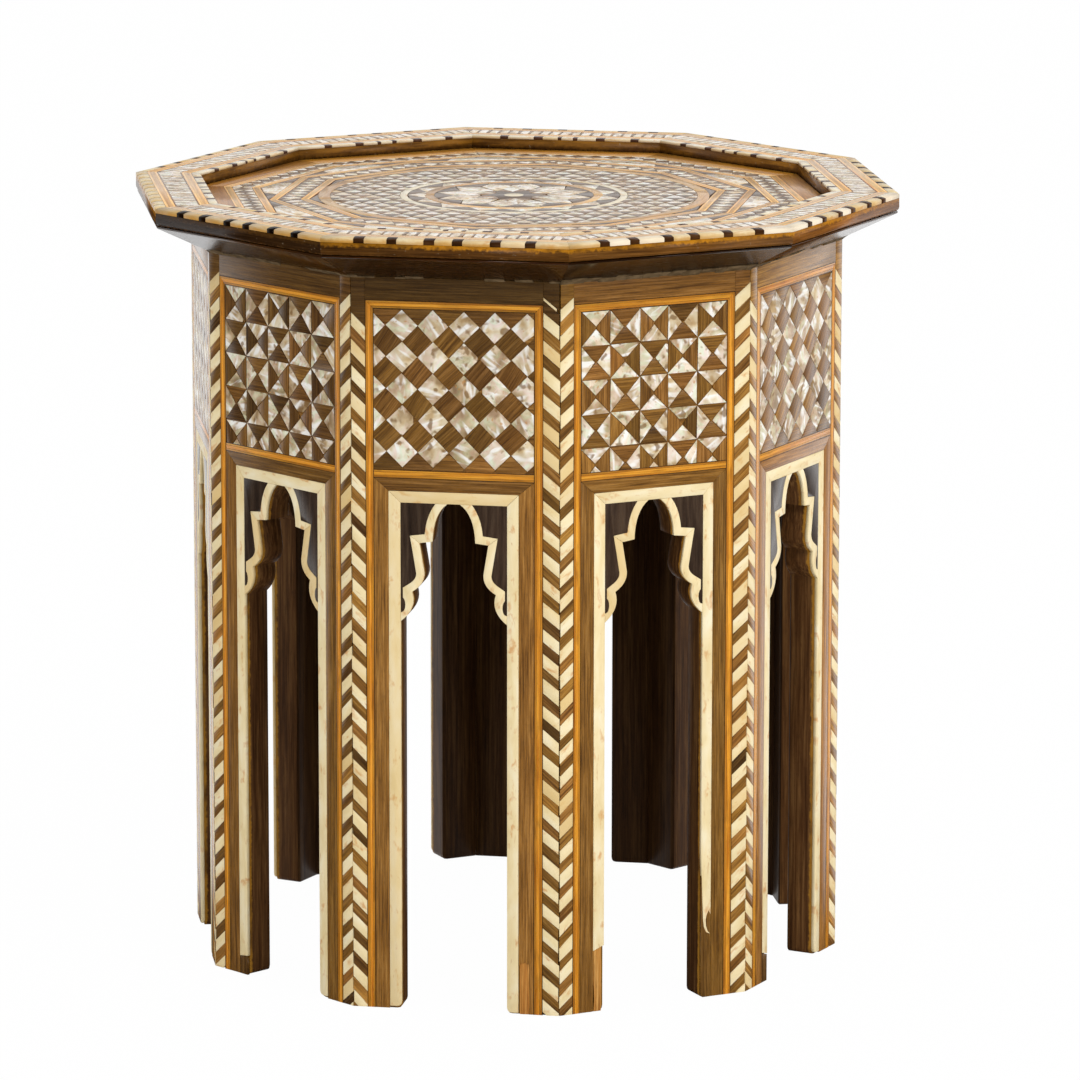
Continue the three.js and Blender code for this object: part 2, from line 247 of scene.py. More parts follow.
def pearlFinish(name, look):
    # level = tile's tone + soft facets + clouds, each about its middle, read on a ramp; tinted by
    # a drift of cream, pink and grey-green, with fine cracks on some tiles, white painted glints of light, brown
    # near the shell's skin and small orange spots
    material, tones, grain = begin(name)
    warp = addNode(grain.tree, "TexNoise", {"Vector": grain, "Scale": 1.0, "Detail": 1.0}, "Color")
    warped = vectorMath("MULTIPLY_ADD", warp, (0.7, 0.7, 0.0), grain)
    facet = addNode(grain.tree, "TexVoronoi", {"Vector": warped, "Scale": look["facets"], "Smoothness": 0.6},
                    "Color", feature="SMOOTH_F1")
    facet = addNode(grain.tree, "SeparateColor", {"Color": facet})
    cloud = addNoise(grain, look["clouds"], 2.0, 0.5, 0.35)
    level = (tones[0] - 0.5) * look["byTile"] + 0.5 + (facet - 0.5) * look["byFacet"] + (cloud - 0.5) * look["byCloud"]
    drift = addNoise(grain, 1.1, 1.0, 0.5, 0.5) * 0.75 + tones[1] * 0.25
    colour = shaded(addRamp(level, *look["stops"]), addRamp(drift, *look["tints"]))
    edge = addNode(grain.tree, "TexVoronoi", {"Vector": warped, "Scale": 2.6}, feature="DISTANCE_TO_EDGE")
    crack = shaded(colour, addRamp(edge, (0.0, 0.8), (0.03, 1.0)))
    colour = stained(colour, crack, tones[1], (0.6, 0.0), (0.7, 0.9))
    # painted highlight: white glints of light in patches
    paintedGlint = addNoise(grain, 1.0, 1.0, 0.5, 0.3, (0.7, 2.4, 1.0))
    colour = stained(colour, look["paintedGlint"], paintedGlint, (0.52, 0.0), (0.66, 0.8))
    skin = addNoise(grain, 1.9, 1.0, 0.5, 0.2) + tones[2] * 0.14
    colour = stained(colour, look["skin"], skin, (0.66, 0.0), (0.77, 0.8))
    spot = addNoise(grain, 3.2, 1.0, 0.5, 0.2) + tones[1] * 0.1
    colour = stained(colour, look["spot"], spot, (0.72, 0.0), (0.8, 0.6))
    roughness = addRamp(cloud, (0.3, look["rough"] + 0.1), (0.7, look["rough"] - 0.08))
    return varnished(material, look, colour, tones, roughness, facet)


def groundFinish(name, dark, light):
    # glue and grime: two colours in fine patches
    material, tones, grain = begin(name)
    patch = addNoise(objectPlace(grain.tree), 140.0, 4.0, 0.65)
    colour = addRamp(patch, (0.35, *dark), (0.65, *light))
    return varnished(material, groundLook, colour, tones, groundLook["rough"], patch)


# Glazes lie over a finish: their heights are in millimetres above the floor
wearAndShade = {
    "rimInside": 0.222,  # reach in metres that parts the rim's inside from its outside
    "goldFrom": 492.0, "paleFoot": 487.0, "paintedShadeFoot": 491.0, "edgingStain": 496.0, "boardGold": 4.0,
}


def reachOf(place):
    # distance from the upright axis
    return vectorMath("LENGTH", vectorMath("MULTIPLY", place, (1.0, 1.0, 0.0)), output="Value")


def heightOver(foot, place, scale, reach, share):
    # height over a foot, moved up and down by a noise, as a share of a ramp
    height = addNode(place.tree, "SeparateXYZ", {"Vector": place}, "Z")
    return (height * 1000.0 + (addNoise(place, scale, 4.0, 0.6) - 0.5) * reach - foot) * share


def rimGlaze(colour, tones):
    # rubbed to gold in blotches just under the bone outside, save on the sides darkest in their painted shade, and in
    # long streaks inside; a paler line at the foot outside, a dark foot inside that is painted shade growing down the
    # inner wall towards the tray, and pale specks
    place = objectPlace(colour.tree)
    outside = addMath("GREATER_THAN", reachOf(place), wearAndShade["rimInside"])
    inside = 1.0 - outside
    heights = 380.0, 6.0, 0.2
    gold = addRamp(heightOver(wearAndShade["goldFrom"], place, *heights), (0.34, 0.0), (0.62, 0.9))
    blotch = addRamp(addNoise(place, 90.0, 4.0, 0.65), (0.4, 0.35), (0.62, 1.0))
    # the gold follows the side's tone, which is painted light and shade, so the shaded side stays dark
    worn = addRamp(tones[0], (0.1, 0.1), (0.3, 1.0))
    colour = addMix(gold * blotch * (worn * outside), colour, (200, 132, 24))
    streaks = addRamp(addNoise(place, 34.0, 4.0, 0.6, 0.0, (1.0, 1.0, 9.0)), (0.4, 0.0), (0.64, 0.75))
    colour = addMix(streaks * inside, colour, (160, 108, 34))
    colour = stained(colour, (124, 82, 38), heightOver(wearAndShade["paleFoot"], place, *heights), (0.3, 0.5), (0.5, 0.0))
    # painted shade: the inner wall darkens towards the tray
    foot = addRamp(heightOver(wearAndShade["paintedShadeFoot"], place, *heights), (0.05, 0.9), (0.35, 0.55), (0.95, 0.0))
    colour = addMix(foot * inside, colour, (40, 22, 8))
    return stained(colour, (150, 132, 108), addNoise(place, 420.0, 2.0, 0.6), (0.68, 0.0), (0.74, 0.5))


def boardGlaze(colour, tones):
    # depth behind the bone = its back's distance - reach * cos(angle from the face's middle);
    # the sawn edges are rubbed to gold where it is small, in an uneven and broken line
    place = objectPlace(colour.tree)
    x, y = (addNode(place.tree, "SeparateXYZ", {"Vector": place}, axis) for axis in "XY")
    turn = addMath("FLOORED_MODULO", addMath("ARCTAN2", y, x), stepAngle)
    depth = boneBack - reachOf(place) * addMath("COSINE", turn - halfAngle) * 1000.0
    uneven = (addNoise(place, 240.0, 4.0, 0.65) - 0.5) * wearAndShade["boardGold"]
    gold = addRamp((depth + uneven) * 0.1, (0.14, 0.85), (0.24, 0.0))
    blotch = addRamp(addNoise(place, 46.0, 3.0, 0.6), (0.36, 0.3), (0.52, 1.0))
    return addMix(gold * blotch, colour, (164, 116, 40))


def corniceGlaze(colour, tones):
    # brown grime gathers on the cornice close to the body
    height = heightOver(corniceFoot, objectPlace(colour.tree), 55.0, 6.0, 0.1)
    return stained(colour, (70, 52, 26), height, (0.02, 0.6), (0.3, 0.0))


def edgingGlaze(colour, tones):
    # the edging's bone is stained towards its lower edge, less on the palest side; the side's tone is painted light and
    # shade, so the palest sides are also whitened as a painted highlight and the darkest side browned as painted shade
    height = heightOver(wearAndShade["edgingStain"], objectPlace(colour.tree), 200.0, 3.0, 0.25)
    kept = addRamp(tones[0], (0.6, 1.0), (0.95, 0.2))
    colour = addMix(addRamp(height, (0.4, 0.95), (0.85, 0.0)) * kept, colour, (196, 140, 52))
    # painted highlight on the sides towards the lamp, painted shade on the side away from it
    colour = stained(colour, (250, 240, 222), tones[0], (0.8, 0.0), (0.95, 0.7))
    return stained(colour, (204, 158, 88), tones[0], (0.1, 0.35), (0.5, 0.0))


def grainStops(dark, middle, light, last=0.64):
    return [(0.36, *dark), (0.5, *middle), (last, *light)]


worn = {"coat": 0.4, "coatRough": 0.2, "shine": 0.35}
polished = {"coat": 0.25, "coatRough": 0.14, "shine": 0.5, "rough": 0.3}
plain = [(0.0, 1.0), (1.0, 1.0)]
groundLook = {"coat": 0.0, "coatRough": 0.03, "shine": 0.2, "rough": 0.8, "bump": 0.5, "relief": 0.4}
walnutLook = {
    **worn, "rough": 0.27, "bump": 0.3, "spread": 0.7, "pores": 0.35, "fibres": 0.25, "smudges": 0.18,
    "along": 0.16, "bands": 2.4, "lines": 10.0,
    "stops": grainStops((114, 74, 26), (158, 109, 44), (192, 140, 72), 0.63),
    "tints": [(0.0, 255, 244, 234), (0.5, 255, 252, 234), (1.0, 255, 255, 218)],
}
boardLook = {
    **worn, "glaze": boardGlaze, "coat": 0.0, "shine": 0.03, "upright": True, "rough": 0.36, "bump": 0.4,
    "spread": 0.84, "pores": 0.3, "fibres": 0.3, "smudges": 0.2, "along": 0.1, "bands": 1.5, "lines": 6.0,
    "tints": plain, "stops": grainStops((60, 36, 17), (84, 54, 28), (110, 77, 43)),
}
amberLook = {
    **worn, "rough": 0.26, "bump": 0.15, "spread": 0.6, "pores": 0.2, "fibres": 0.2, "smudges": 0.3,
    "along": 0.12, "bands": 3.0, "lines": 9.0, "stops": grainStops((186, 112, 18), (222, 148, 38), (242, 174, 58)),
    "tints": [(0.0, 255, 244, 226), (1.0, 255, 255, 240)],
}
ebonyLook = {
    **worn, "rough": 0.27, "bump": 0.25, "spread": 0.3, "pores": 0.2, "fibres": 0.2, "smudges": 0.2,
    "along": 0.2, "bands": 1.2, "lines": 4.0, "tints": plain,
    "stops": grainStops((52, 36, 24), (66, 48, 34), (84, 65, 48)),
}
boneLook = {
    **worn, "coat": 0.0, "rough": 0.45, "bump": 0.1, "spread": 0.1, "specks": 0.8, "aged": 0.8, "knots": 0.7,
    "speck": (196, 138, 76), "knot": (214, 144, 62), "old": (230, 194, 124),
    "stops": [(0.3, 237, 213, 157), (0.5, 248, 228, 179), (0.72, 253, 240, 204)],
}
pearlLook = {
    **worn, "coat": 0.0, "rough": 0.26, "bump": 0.1, "facets": 1.3, "clouds": 1.1,
    "byTile": 0.45, "byFacet": 0.4, "byCloud": 1.1,
    "skin": (132, 98, 54), "spot": (196, 136, 72), "paintedGlint": (255, 254, 250),
    "stops": [
        (0.1, 150, 126, 94), (0.32, 188, 166, 134), (0.5, 214, 199, 171), (0.66, 231, 221, 200), (0.84, 247, 242, 230),
    ],
    "tints": [
        (0.3, 255, 240, 214), (0.42, 255, 252, 244), (0.5, 255, 240, 240), (0.58, 240, 250, 236), (0.68, 255, 242, 230),
    ],
}
walnut = woodFinish("walnutVeneer", walnutLook)
walnutTop = woodFinish("walnutPolished", {
    **walnutLook, **polished, "spread": 0.4, "stops": grainStops((92, 60, 24), (130, 90, 42), (162, 118, 64), 0.63)})
boardWood = woodFinish("boardWalnut", boardLook)
rimWood = woodFinish("rimWalnut", {
    **walnutLook, "coat": 0.05, "shine": 0.1, "spread": 0.9, "glaze": rimGlaze,
    "stops": grainStops((84, 50, 16), (110, 70, 26), (140, 94, 44))})
# the cornice's dark stops paint in the shade it lies in under the rim
corniceWood = woodFinish("corniceWalnut", {
    **walnutLook, "coat": 0.3, "shine": 0.2, "rough": 0.22, "spread": 0.6, "glaze": corniceGlaze,
    "stops": grainStops((50, 25, 3), (66, 36, 6), (88, 52, 14))})
borderWood = woodFinish("borderWood", {
    **walnutLook, **polished, "spread": 0.25, "stops": grainStops((158, 100, 28), (194, 130, 46), (222, 164, 80))})
amber = woodFinish("amberStringing", amberLook)
amberTop = woodFinish("amberPolished", {
    **amberLook, **polished, "stops": grainStops((206, 150, 82), (228, 178, 110), (242, 200, 136))})
ebony = woodFinish("ebony", ebonyLook)
edgingEbony = woodFinish("edgingEbony", {
    **ebonyLook, "coat": 0.0, "shine": 0.04, "spread": 0.8,
    "stops": grainStops((40, 20, 6), (54, 30, 10), (76, 48, 24))})
ebonyTop = woodFinish("ebonyPolished", {
    **ebonyLook, **polished, "coat": 0.1, "shine": 0.3, "stops": grainStops((70, 42, 30), (86, 56, 42), (108, 78, 62))})
darkLine = woodFinish("darkLine", {**ebonyLook, "stops": grainStops((64, 38, 12), (88, 56, 20), (112, 74, 30))})
darkLineTop = woodFinish("darkLinePolished", {
    **ebonyLook, **polished, "stops": grainStops((112, 64, 22), (140, 86, 36), (164, 110, 56))})
medallionWood = woodFinish("medallionWood", {
    **ebonyLook, **polished, "stops": grainStops((84, 58, 36), (104, 76, 50), (126, 94, 64))})
bareWood = woodFinish("bareWood", {
    **amberLook, "coat": 0.0, "rough": 0.7, "spread": 0.2, "bands": 4.0, "fibres": 0.3,
    "stops": grainStops((158, 98, 34), (204, 140, 60), (234, 182, 108))})
bone = boneFinish("bone", boneLook)
edgingBone = boneFinish("edgingBone", {
    **boneLook, "rough": 0.3, "shine": 0.3, "spread": 0.35, "specks": 0.9, "glaze": edgingGlaze, "speck": (150, 96, 48),
    "stops": [(0.3, 230, 192, 130), (0.5, 240, 212, 158), (0.72, 249, 231, 190)]})
boneTop = boneFinish("bonePolished", {
    **boneLook, **polished, "stops": [(0.3, 236, 218, 180), (0.5, 246, 232, 200), (0.72, 252, 243, 222)]})
pearl = pearlFinish("motherOfPearl", pearlLook)
pearlTop = pearlFinish("pearlPolished", {
    **pearlLook, **polished, "rough": 0.26, "facets": 2.0, "clouds": 1.7,
    "stops": [
        (0.1, 166, 140, 106), (0.32, 208, 184, 150), (0.5, 234, 218, 190), (0.66, 248, 238, 220), (0.84, 255, 253, 248),
    ]})
glue = groundFinish("oldGlue", (44, 27, 14), (70, 46, 26))
filler = groundFinish("filler", (84, 66, 40), (124, 102, 72))
print("finishes mixed")


# Shapes
def sideAxes(k):
    # across, up and out of side k
    turn = k * stepAngle
    return np.array([[np.cos(turn), np.sin(turn), 0], [0, 0, 1], [np.sin(turn), -np.cos(turn), 0]])


def topAxes(turn):
    # across, inwards and up, for a side's share of a level surface
    return np.array([[np.cos(turn), np.sin(turn), 0], [-np.sin(turn), np.cos(turn), 0], [0, 0, 1]])


def areaOf(outlines):
    # half the sum of cross products of neighbouring corners; positive counter-clockwise
    following = np.roll(outlines, -1, -2)
    return 0.5 * (outlines[..., 0] * following[..., 1] - outlines[..., 1] * following[..., 0]).sum(-1)


def drawnIn(outlines, distance):
    # each run moves to its left by distance, and a corner goes to where its two moved runs meet
    along = np.roll(outlines, -1, -2) - outlines
    along = along / np.maximum(np.linalg.norm(along, axis=-1, keepdims=True), 1e-9)
    inward = np.stack([-along[..., 1], along[..., 0]], -1)
    middle = inward + np.roll(inward, 1, -2)
    size = np.maximum((middle * middle).sum(-1, keepdims=True), least["corner"])
    return outlines + 2 * distance * middle / size


def movedLeft(run, distance):
    # the same for an open run
    along = np.diff(run, axis=0)
    along /= np.linalg.norm(along, axis=1, keepdims=True)
    left = np.stack([-along[:, 1], along[:, 0]], 1)
    middle = np.concatenate([left[:1], left[:-1] + left[1:], left[-1:]])
    middle[[0, -1]] *= 2
    return run + 2 * distance * middle / (middle * middle).sum(1, keepdims=True)


def tidied(outline):
    # drops a corner that lies on the one before it
    outline = np.asarray(outline, float)
    if len(outline) < 3:
        return outline
    return outline[np.linalg.norm(outline - np.roll(outline, 1, 0), axis=1) > least["run"]]


def cutBy(outline, normal, offset):
    # keeps what lies where point . normal is at most offset: corners inside stay, and each run
    # that crosses the line gives its crossing point
    outline, normal = np.asarray(outline, float), np.asarray(normal, float)
    if len(outline) < 3:
        return outline
    beyond = outline @ normal - offset
    crosses = (beyond > 0) != (np.roll(beyond, -1) > 0)
    reach = np.where(crosses, beyond - np.roll(beyond, -1), 1.0)
    share = np.where(crosses, beyond / reach, 0.0)[:, None]
    crossing = outline + share * (np.roll(outline, -1, 0) - outline)
    both = np.stack([outline, crossing], 1).reshape(-1, 2)
    return tidied(both[np.stack([beyond <= 0, crosses], 1).ravel()])


def clipped(outline, lines):
    for normal, offset in lines:
        outline = cutBy(outline, normal, offset)
    return outline


def box(left, right, low, high):
    return np.array([(left, low), (right, low), (right, high), (left, high)], float)


def mirrored(outline):
    return np.asarray(outline)[::-1] * [-1, 1]


def toneFor(rng, light=0.5, spread=0.2):
    return (float(np.clip(light + spread * rng.standard_normal(), 0, 1)), rng.random(), rng.random(), 1.0)


def addTile(tiles, rng, outline, grain, light=0.5, spread=0.2, smallest=0.9):
    # gives a tile its tone, and keeps it unless it is too small or too thin to cut
    tone, outline = toneFor(rng, light, spread), tidied(outline)
    if len(outline) > 2:
        around = np.linalg.norm(outline - np.roll(outline, 1, 0), axis=1).sum()
        area = abs(areaOf(outline))
        if area > smallest and 2 * area / around > least["width"]:
            tiles.append((outline, grain, tone))


def skin(points, grainMap, tones, turned=False):
    # closed blocks over rings of corners, (block, ring, corner): walls, and a ring at each end
    many, rings, count = points.shape[:3]
    index = np.arange(many * rings * count).reshape(many, rings, count)
    low, high = index[:, :-1], index[:, 1:]
    walls = np.stack([low, np.roll(low, -1, 2), np.roll(high, -1, 2), high], -1).reshape(-1, 4)
    faces = [walls, index[:, -1], index[:, 0, ::-1]]
    if turned:
        faces = [walls[:, [0, 3, 2, 1]], index[:, 0], index[:, -1, ::-1]]
    tones = np.broadcast_to(tones, (many, rings, count, 4)).reshape(-1, 4)
    return points.reshape(-1, 3), faces, grainMap.reshape(-1, 2), tones


def prisms(tiles, axes, top, thick, rng, joint=0.16, ease=0.12, mitre=False):
    # each outline becomes a flat block: a back ring and a shoulder ring drawn in by half a joint,
    # and a top ring drawn in by the easing too. Mitred blocks end where the next side begins
    parts = []
    for count in sorted({len(tile[0]) for tile in tiles}):
        outlines, grain, tone = map(np.array, zip(*(tile for tile in tiles if len(tile[0]) == count)))
        clockwise = areaOf(outlines) < 0
        outlines[clockwise] = outlines[clockwise, ::-1]
        grain = grain[:, None, None]
        flat = np.stack([drawnIn(outlines, joint / 2)] * 2 + [drawnIn(outlines, joint / 2 + ease)], 1)
        level = np.array([top - thick, top - 0.7 * ease, top])[None, :, None] + np.zeros(flat.shape[:3])
        level[:, 1:] -= tileSink * rng.random((len(outlines), 1, 1))
        if mitre:
            most = level * slope - mitreGap["tile"]
            flat[..., 0] = np.clip(flat[..., 0], -most, most)
        points = flat[..., :1] * axes[0] + flat[..., 1:] * axes[1] + level[..., None] * axes[2]
        lot = rng.uniform(0, 90, (len(outlines), 1, 1, 2))
        along = flat[..., 0] * np.cos(grain) + flat[..., 1] * np.sin(grain)
        across = flat[..., 1] * np.cos(grain) - flat[..., 0] * np.sin(grain)
        parts.append(skin(points, np.stack([along, across], -1) / 10 + lot, tone[:, None, None]))
    return parts


def bars(section, starts, ends, axes, rng, tones, ease=0.15):
    # a section in distance and height is carried along a side between straight cuts, or to the
    # mitre where a cut lies past it; the two end rings are drawn in a little
    section = np.asarray(section, float)
    if areaOf(section) < 0:
        section = section[::-1]
    inner = drawnIn(section, ease)
    rings = np.stack([inner, section, section, inner])[None]
    starts, ends = np.asarray(starts, float), np.asarray(ends, float)
    cuts = np.stack([starts, starts + ease, ends - ease, ends], 1)[:, :, None] + np.zeros((1, 1, len(section)))
    most = rings[..., 0] * slope - mitreGap["bar"]
    cuts = np.clip(cuts, -most, most)
    points = cuts[..., None] * axes[0] + rings[..., 1:] * axes[1] + rings[..., :1] * axes[2]
    around = np.concatenate([[0], np.cumsum(np.linalg.norm(np.diff(section, axis=0), axis=1))])
    lot = rng.uniform(0, 90, (len(starts), 1, 1, 2))
    grainMap = np.stack([cuts, np.broadcast_to(around, cuts.shape)], -1) / 10 + lot
    return [skin(points, grainMap, np.asarray(tones)[:, None, None], turned=True)]


def makePiece(name, finish, parts, replaced=()):
    # joins the parts into one mesh, faces outwards
    offsets = np.cumsum([0] + [len(part[0]) for part in parts[:-1]])
    points, grainMap, tones = (np.concatenate([part[i] for part in parts]) for i in (0, 2, 3))
    faces = [face + offset for part, offset in zip(parts, offsets) for face in part[1]]
    fans = np.concatenate([
        np.stack([np.repeat(face[:, :1], face.shape[1] - 2, 1), face[:, 1:-1], face[:, 2:]], -1).reshape(-1, 3)
        for face in faces
    ])
    first, second, third = (points[fans[:, i]] for i in range(3))
    if (first * np.cross(second, third)).sum() < 0:
        faces = [face[:, ::-1] for face in faces]
    corners = np.concatenate([face.ravel() for face in faces]).astype(np.int32)
    sizes = np.concatenate([np.full(len(face), face.shape[1]) for face in faces])
    starts = np.concatenate([[0], np.cumsum(sizes)[:-1]]).astype(np.int32)
    mesh = bpy.data.meshes.new(name)
    mesh.vertices.add(len(points))
    mesh.vertices.foreach_set("co", (points * mm).astype(np.float32).ravel())
    mesh.loops.add(len(corners))
    mesh.loops.foreach_set("vertex_index", corners)
    mesh.polygons.add(len(starts))
    mesh.polygons.foreach_set("loop_start", starts)
    mesh.update(calc_edges=True)
    mesh.uv_layers.new(name="grain").data.foreach_set("uv", grainMap[corners].astype(np.float32).ravel())
    mesh.attributes.new("tone", "FLOAT_COLOR", "POINT").data.foreach_set("color", tones.astype(np.float32).ravel())
    mesh.materials.append(finish)
    piece = bpy.data.objects.new(name, mesh)
    bpy.context.scene.collection.objects.link(piece)
    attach(piece, "root")
    if len(replaced):
        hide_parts(*replaced)


least = {"corner": 0.35, "run": 0.02, "width": 0.16}  # sharpness of a corner, run and width of a tile
tileSink = 0.03  # a tile lies at most this much lower than its neighbours
mitreGap = {"tile": 0.05, "bar": 0.06, "board": 0.12}

# Arch and bone frame
arch = {
    "frameWidth": 7.4, "headHeight": 75.9, "bandWidth": 5.4, "steps": 8, "crownShare": 0.115,
    "curves": [
        ((0.388, 0.916), (0.402, 0.679)), (None, (0.647, 0.665)), ((0.592, 0.52), (0.555, 0.415)),
        ((0.545, 0.316), (0.787, 0.252)), ((0.684, 0.112), (1.0, 0.0)),
    ],
    "sliver": 1.3,  # dark line beside the stile, under the spandrel
    "budFoot": 257.6, "budHead": 267.4, "budDepth": 2.9, "budSteps": 8, "budFullness": 0.8,
    "thickness": 2.2, "spandrelSink": 0.05,
}
board = {"ease": 0.9, "edgeFrom": 1.2, "insideShadeTone": 0.24, "edgeTone": (0.55, 0.05), "legWidth": 20}
gapHalf = frameHalf - arch["frameWidth"]
footRound = np.array([(0, 3.2), (0.4, 1.5), (1.3, 0.4), (3.2, 0)])  # worn corner of a leg
crown = frameTop - arch["frameWidth"]
spring = crown - arch["headHeight"]
coreFront = faceOut - arch["thickness"]


def archEdge():
    # half of the opening, from the crown down to the springing: quadratic curves and one
    # straight run, given as shares of the half gap and of the head's height
    t = np.linspace(0, 1, arch["steps"] + 1)[1:, None]
    here = np.array([arch["crownShare"], 1.0])
    runs = [here[None]]
    for bend, end in arch["curves"]:
        end = np.array(end)
        if bend is None:
            runs.append(end[None])
        else:
            runs.append((1 - t) ** 2 * here + 2 * t * (1 - t) * np.array(bend) + t**2 * end)
        here = end
    return np.concatenate(runs) * [gapHalf, arch["headHeight"]] + [0, spring]


def meetingAt(run, i, axis, value):
    # where the run crosses a value, between its points i - 1 and i
    share = (value - run[i - 1][axis]) / (run[i][axis] - run[i - 1][axis])
    return run[i - 1] + share * (run[i] - run[i - 1])


openingEdge = archEdge()
shelfCorner = arch["steps"] + 1  # place of the shelf's outer corner in the run
bandEdge = movedLeft(openingEdge[: len(openingEdge) - arch["steps"]], arch["bandWidth"])
bandStart = int(np.argmax(bandEdge[:, 1] < crown))
bandTop = meetingAt(bandEdge, bandStart, 1, crown)
sliverIn = gapHalf - arch["sliver"]
bandStop = int(np.argmax(bandEdge[:, 0] > sliverIn)) or len(bandEdge) - 1
bandFoot = meetingAt(bandEdge, bandStop, 0, sliverIn)

# Small dark half disc in the lowest lobe, from its foot up and round to the sliver
budTurn = np.linspace(np.pi, 0, arch["budSteps"] + 1)[1:-1]
bud = np.stack([
    gapHalf - arch["budDepth"] * np.sin(budTurn) ** arch["budFullness"],
    (arch["budFoot"] + arch["budHead"]) / 2 + (arch["budHead"] - arch["budFoot"]) / 2 * np.cos(budTurn),
], 1)
bud = bud[bud[:, 0] <= sliverIn + 0.9]
budRun = np.concatenate([[(gapHalf, arch["budFoot"])], bud, [bandFoot]])
spandrel = np.concatenate([[bandTop], bandEdge[bandStart:bandStop], budRun[::-1], [(gapHalf, crown)]])
upperBand = np.concatenate([openingEdge[: shelfCorner + 1], bandEdge[bandStart : shelfCorner + 1][::-1], [bandTop]])
lowerBand = np.concatenate([openingEdge[shelfCorner:], budRun, bandEdge[shelfCorner:bandStop][::-1]])

# Stiles broken off near the floor, by side and edge, in distances from the gap and heights: the
# bone that is left, from its foot at the gap round to its outer foot, the bare wood below it, and
# the walnut that fills the place
full = arch["frameWidth"]
brokenStiles = {
    (1, -1): {
        "bone": [(0, 43.0), (full, 39.8)],
        "bare": [(1.8, 0.2), (full - 0.5, 0.2), (full - 1.1, 9), (full - 0.3, 20), (full - 0.4, 39.6), (1.8, 42.2)],
    },
    (1, 1): {
        "bone": [(0, 96.0), (0.9, 70), (1.7, 52), (2.4, 46.5), (3.9, 42.9), (full - 0.2, 41.6), (5.3, 43.6), (4.1, 47),
                 (3.8, 51), (4.6, 54.2), (full - 1.4, 57.0), (full, 54.2)],
        "fill": [(1.8, 0.2), (full, 0.2), (full, 60), (0.4, 80), (0.4, 1.8)],
    },
    (9, -1): {"bone": [(0, 13.0), (full, 12.0)], "fill": [(0.3, 0.2), (full, 0.2), (full, 11.6), (0.3, 12.6)]},
    (2, -1): {"bone": [(0, 18.0), (full, 20.0)], "fill": [(0.3, 0.2), (full, 0.2), (full, 19.6), (0.3, 17.6)]},
    # veneer lost from the foot of a stile beside the bone, and the ragged edge of what is left
    (0, 1): {
        "bare": [(full + 0.7, 0.2), (full + 7.4, 0.2), (full + 7.4, 36), (full + 0.6, 36), (full + 0.6, 18)],
        "veneer": [(0, 31.5), (0.8, 32.2), (1.9, 33.9), (3.1, 33.2), (4.2, 34.6), (5.4, 32.8), (6.2, 33.4), (6.8, 29.5),
                   (6.5, 20), (6.9, 10), (6.6, 0.2)],
    },
}

# Places across a side, and how far the craftsman's edges lie from them, by side
places = (-66.35, -41.9, -34.5, 34.5, 41.9, 51.45, 56.85, 66.35)
unevenSides = {0: (0, -0.3, 0, -2.0, -2.0, -1.6, -1.2, 0), 1: (0, -0.3, 0, -0.9, -1.2, -1.5, -1.3, 0)}


def uneven(k, outline):
    # moves each corner across by the shift of its place
    outline = np.array(outline, float)
    if k in unevenSides:
        outline[:, 0] += np.interp(outline[:, 0], places, unevenSides[k])
    return outline


def boneTiles(k, rng):
    tiles = []
    for sign in (-1, 1):
        foot = boneFoot + rng.uniform(0.2, 1.0)
        usual = [*(footRound + [0, foot]), (full, foot)]
        low = np.array(brokenStiles.get((k, sign), {}).get("bone", usual)) + [gapHalf, 0]
        stile = np.array([*low, (frameHalf, frameTop), (gapHalf, crown)])
        addTile(tiles, rng, stile * [sign, 1], np.pi / 2, 0.7)
        for band in (upperBand, lowerBand):
            addTile(tiles, rng, band * [sign, 1], np.pi / 2 * sign * 0.8, 0.7)
    head = [(-frameHalf, frameTop), (-gapHalf, crown), (gapHalf, crown), (frameHalf, frameTop)]
    addTile(tiles, rng, head, 0.0, 0.75)
    return tiles


def stileTiles(k, rng, key, light, spread):
    # wood that fills or shows where bone or veneer is lost
    tiles = []
    for sign in (-1, 1):
        outline = brokenStiles.get((k, sign), {}).get(key)
        if outline:
            addTile(tiles, rng, (np.array(outline) + [gapHalf, 0]) * [sign, 1], np.pi / 2, light, spread)
    return tiles


def boardParts(k, rng):
    # the board's outline, with its opening, carried from its back to the bed of the inlay; the
    # back arris is eased, and the back, the inside of the box, is darkened as painted shade while the edges are paler
    foot = footRound + [gapHalf, 0]
    opening = np.concatenate([mirrored(foot), mirrored(openingEdge), openingEdge, foot])
    outline = np.concatenate([opening, box(-halfSide, halfSide, 0, boardTop)[[1, 2, 3, 0]]])
    outline = tidied(uneven(k, outline))
    if areaOf(outline) < 0:
        outline = outline[::-1]
    flat = np.stack([drawnIn(outline, board["ease"]), outline, outline, outline])
    distances = np.array([faceIn, faceIn + board["ease"], faceIn + board["edgeFrom"], coreFront])
    level = distances[:, None] + np.zeros(flat.shape[:2])
    atCorner = np.abs(flat[..., 0]) > gapHalf + board["legWidth"]
    flat[..., 0] = np.where(atCorner, np.sign(flat[..., 0]) * (level * slope - mitreGap["board"]), flat[..., 0])
    flat[..., 1] = np.clip(flat[..., 1], 0, boardTop)
    axes = sideAxes(k)
    points = flat[..., :1] * axes[0] + flat[..., 1:] * axes[1] + level[..., None] * axes[2]
    tones = np.tile(toneFor(rng, *board["edgeTone"]), (1, len(flat), len(outline), 1))
    # painted shade: the back faces, inside the box, are given a darker tone
    tones[:, :2, :, 0] = board["insideShadeTone"]
    return [skin(points[None], flat[..., ::-1] / 10, tones)]


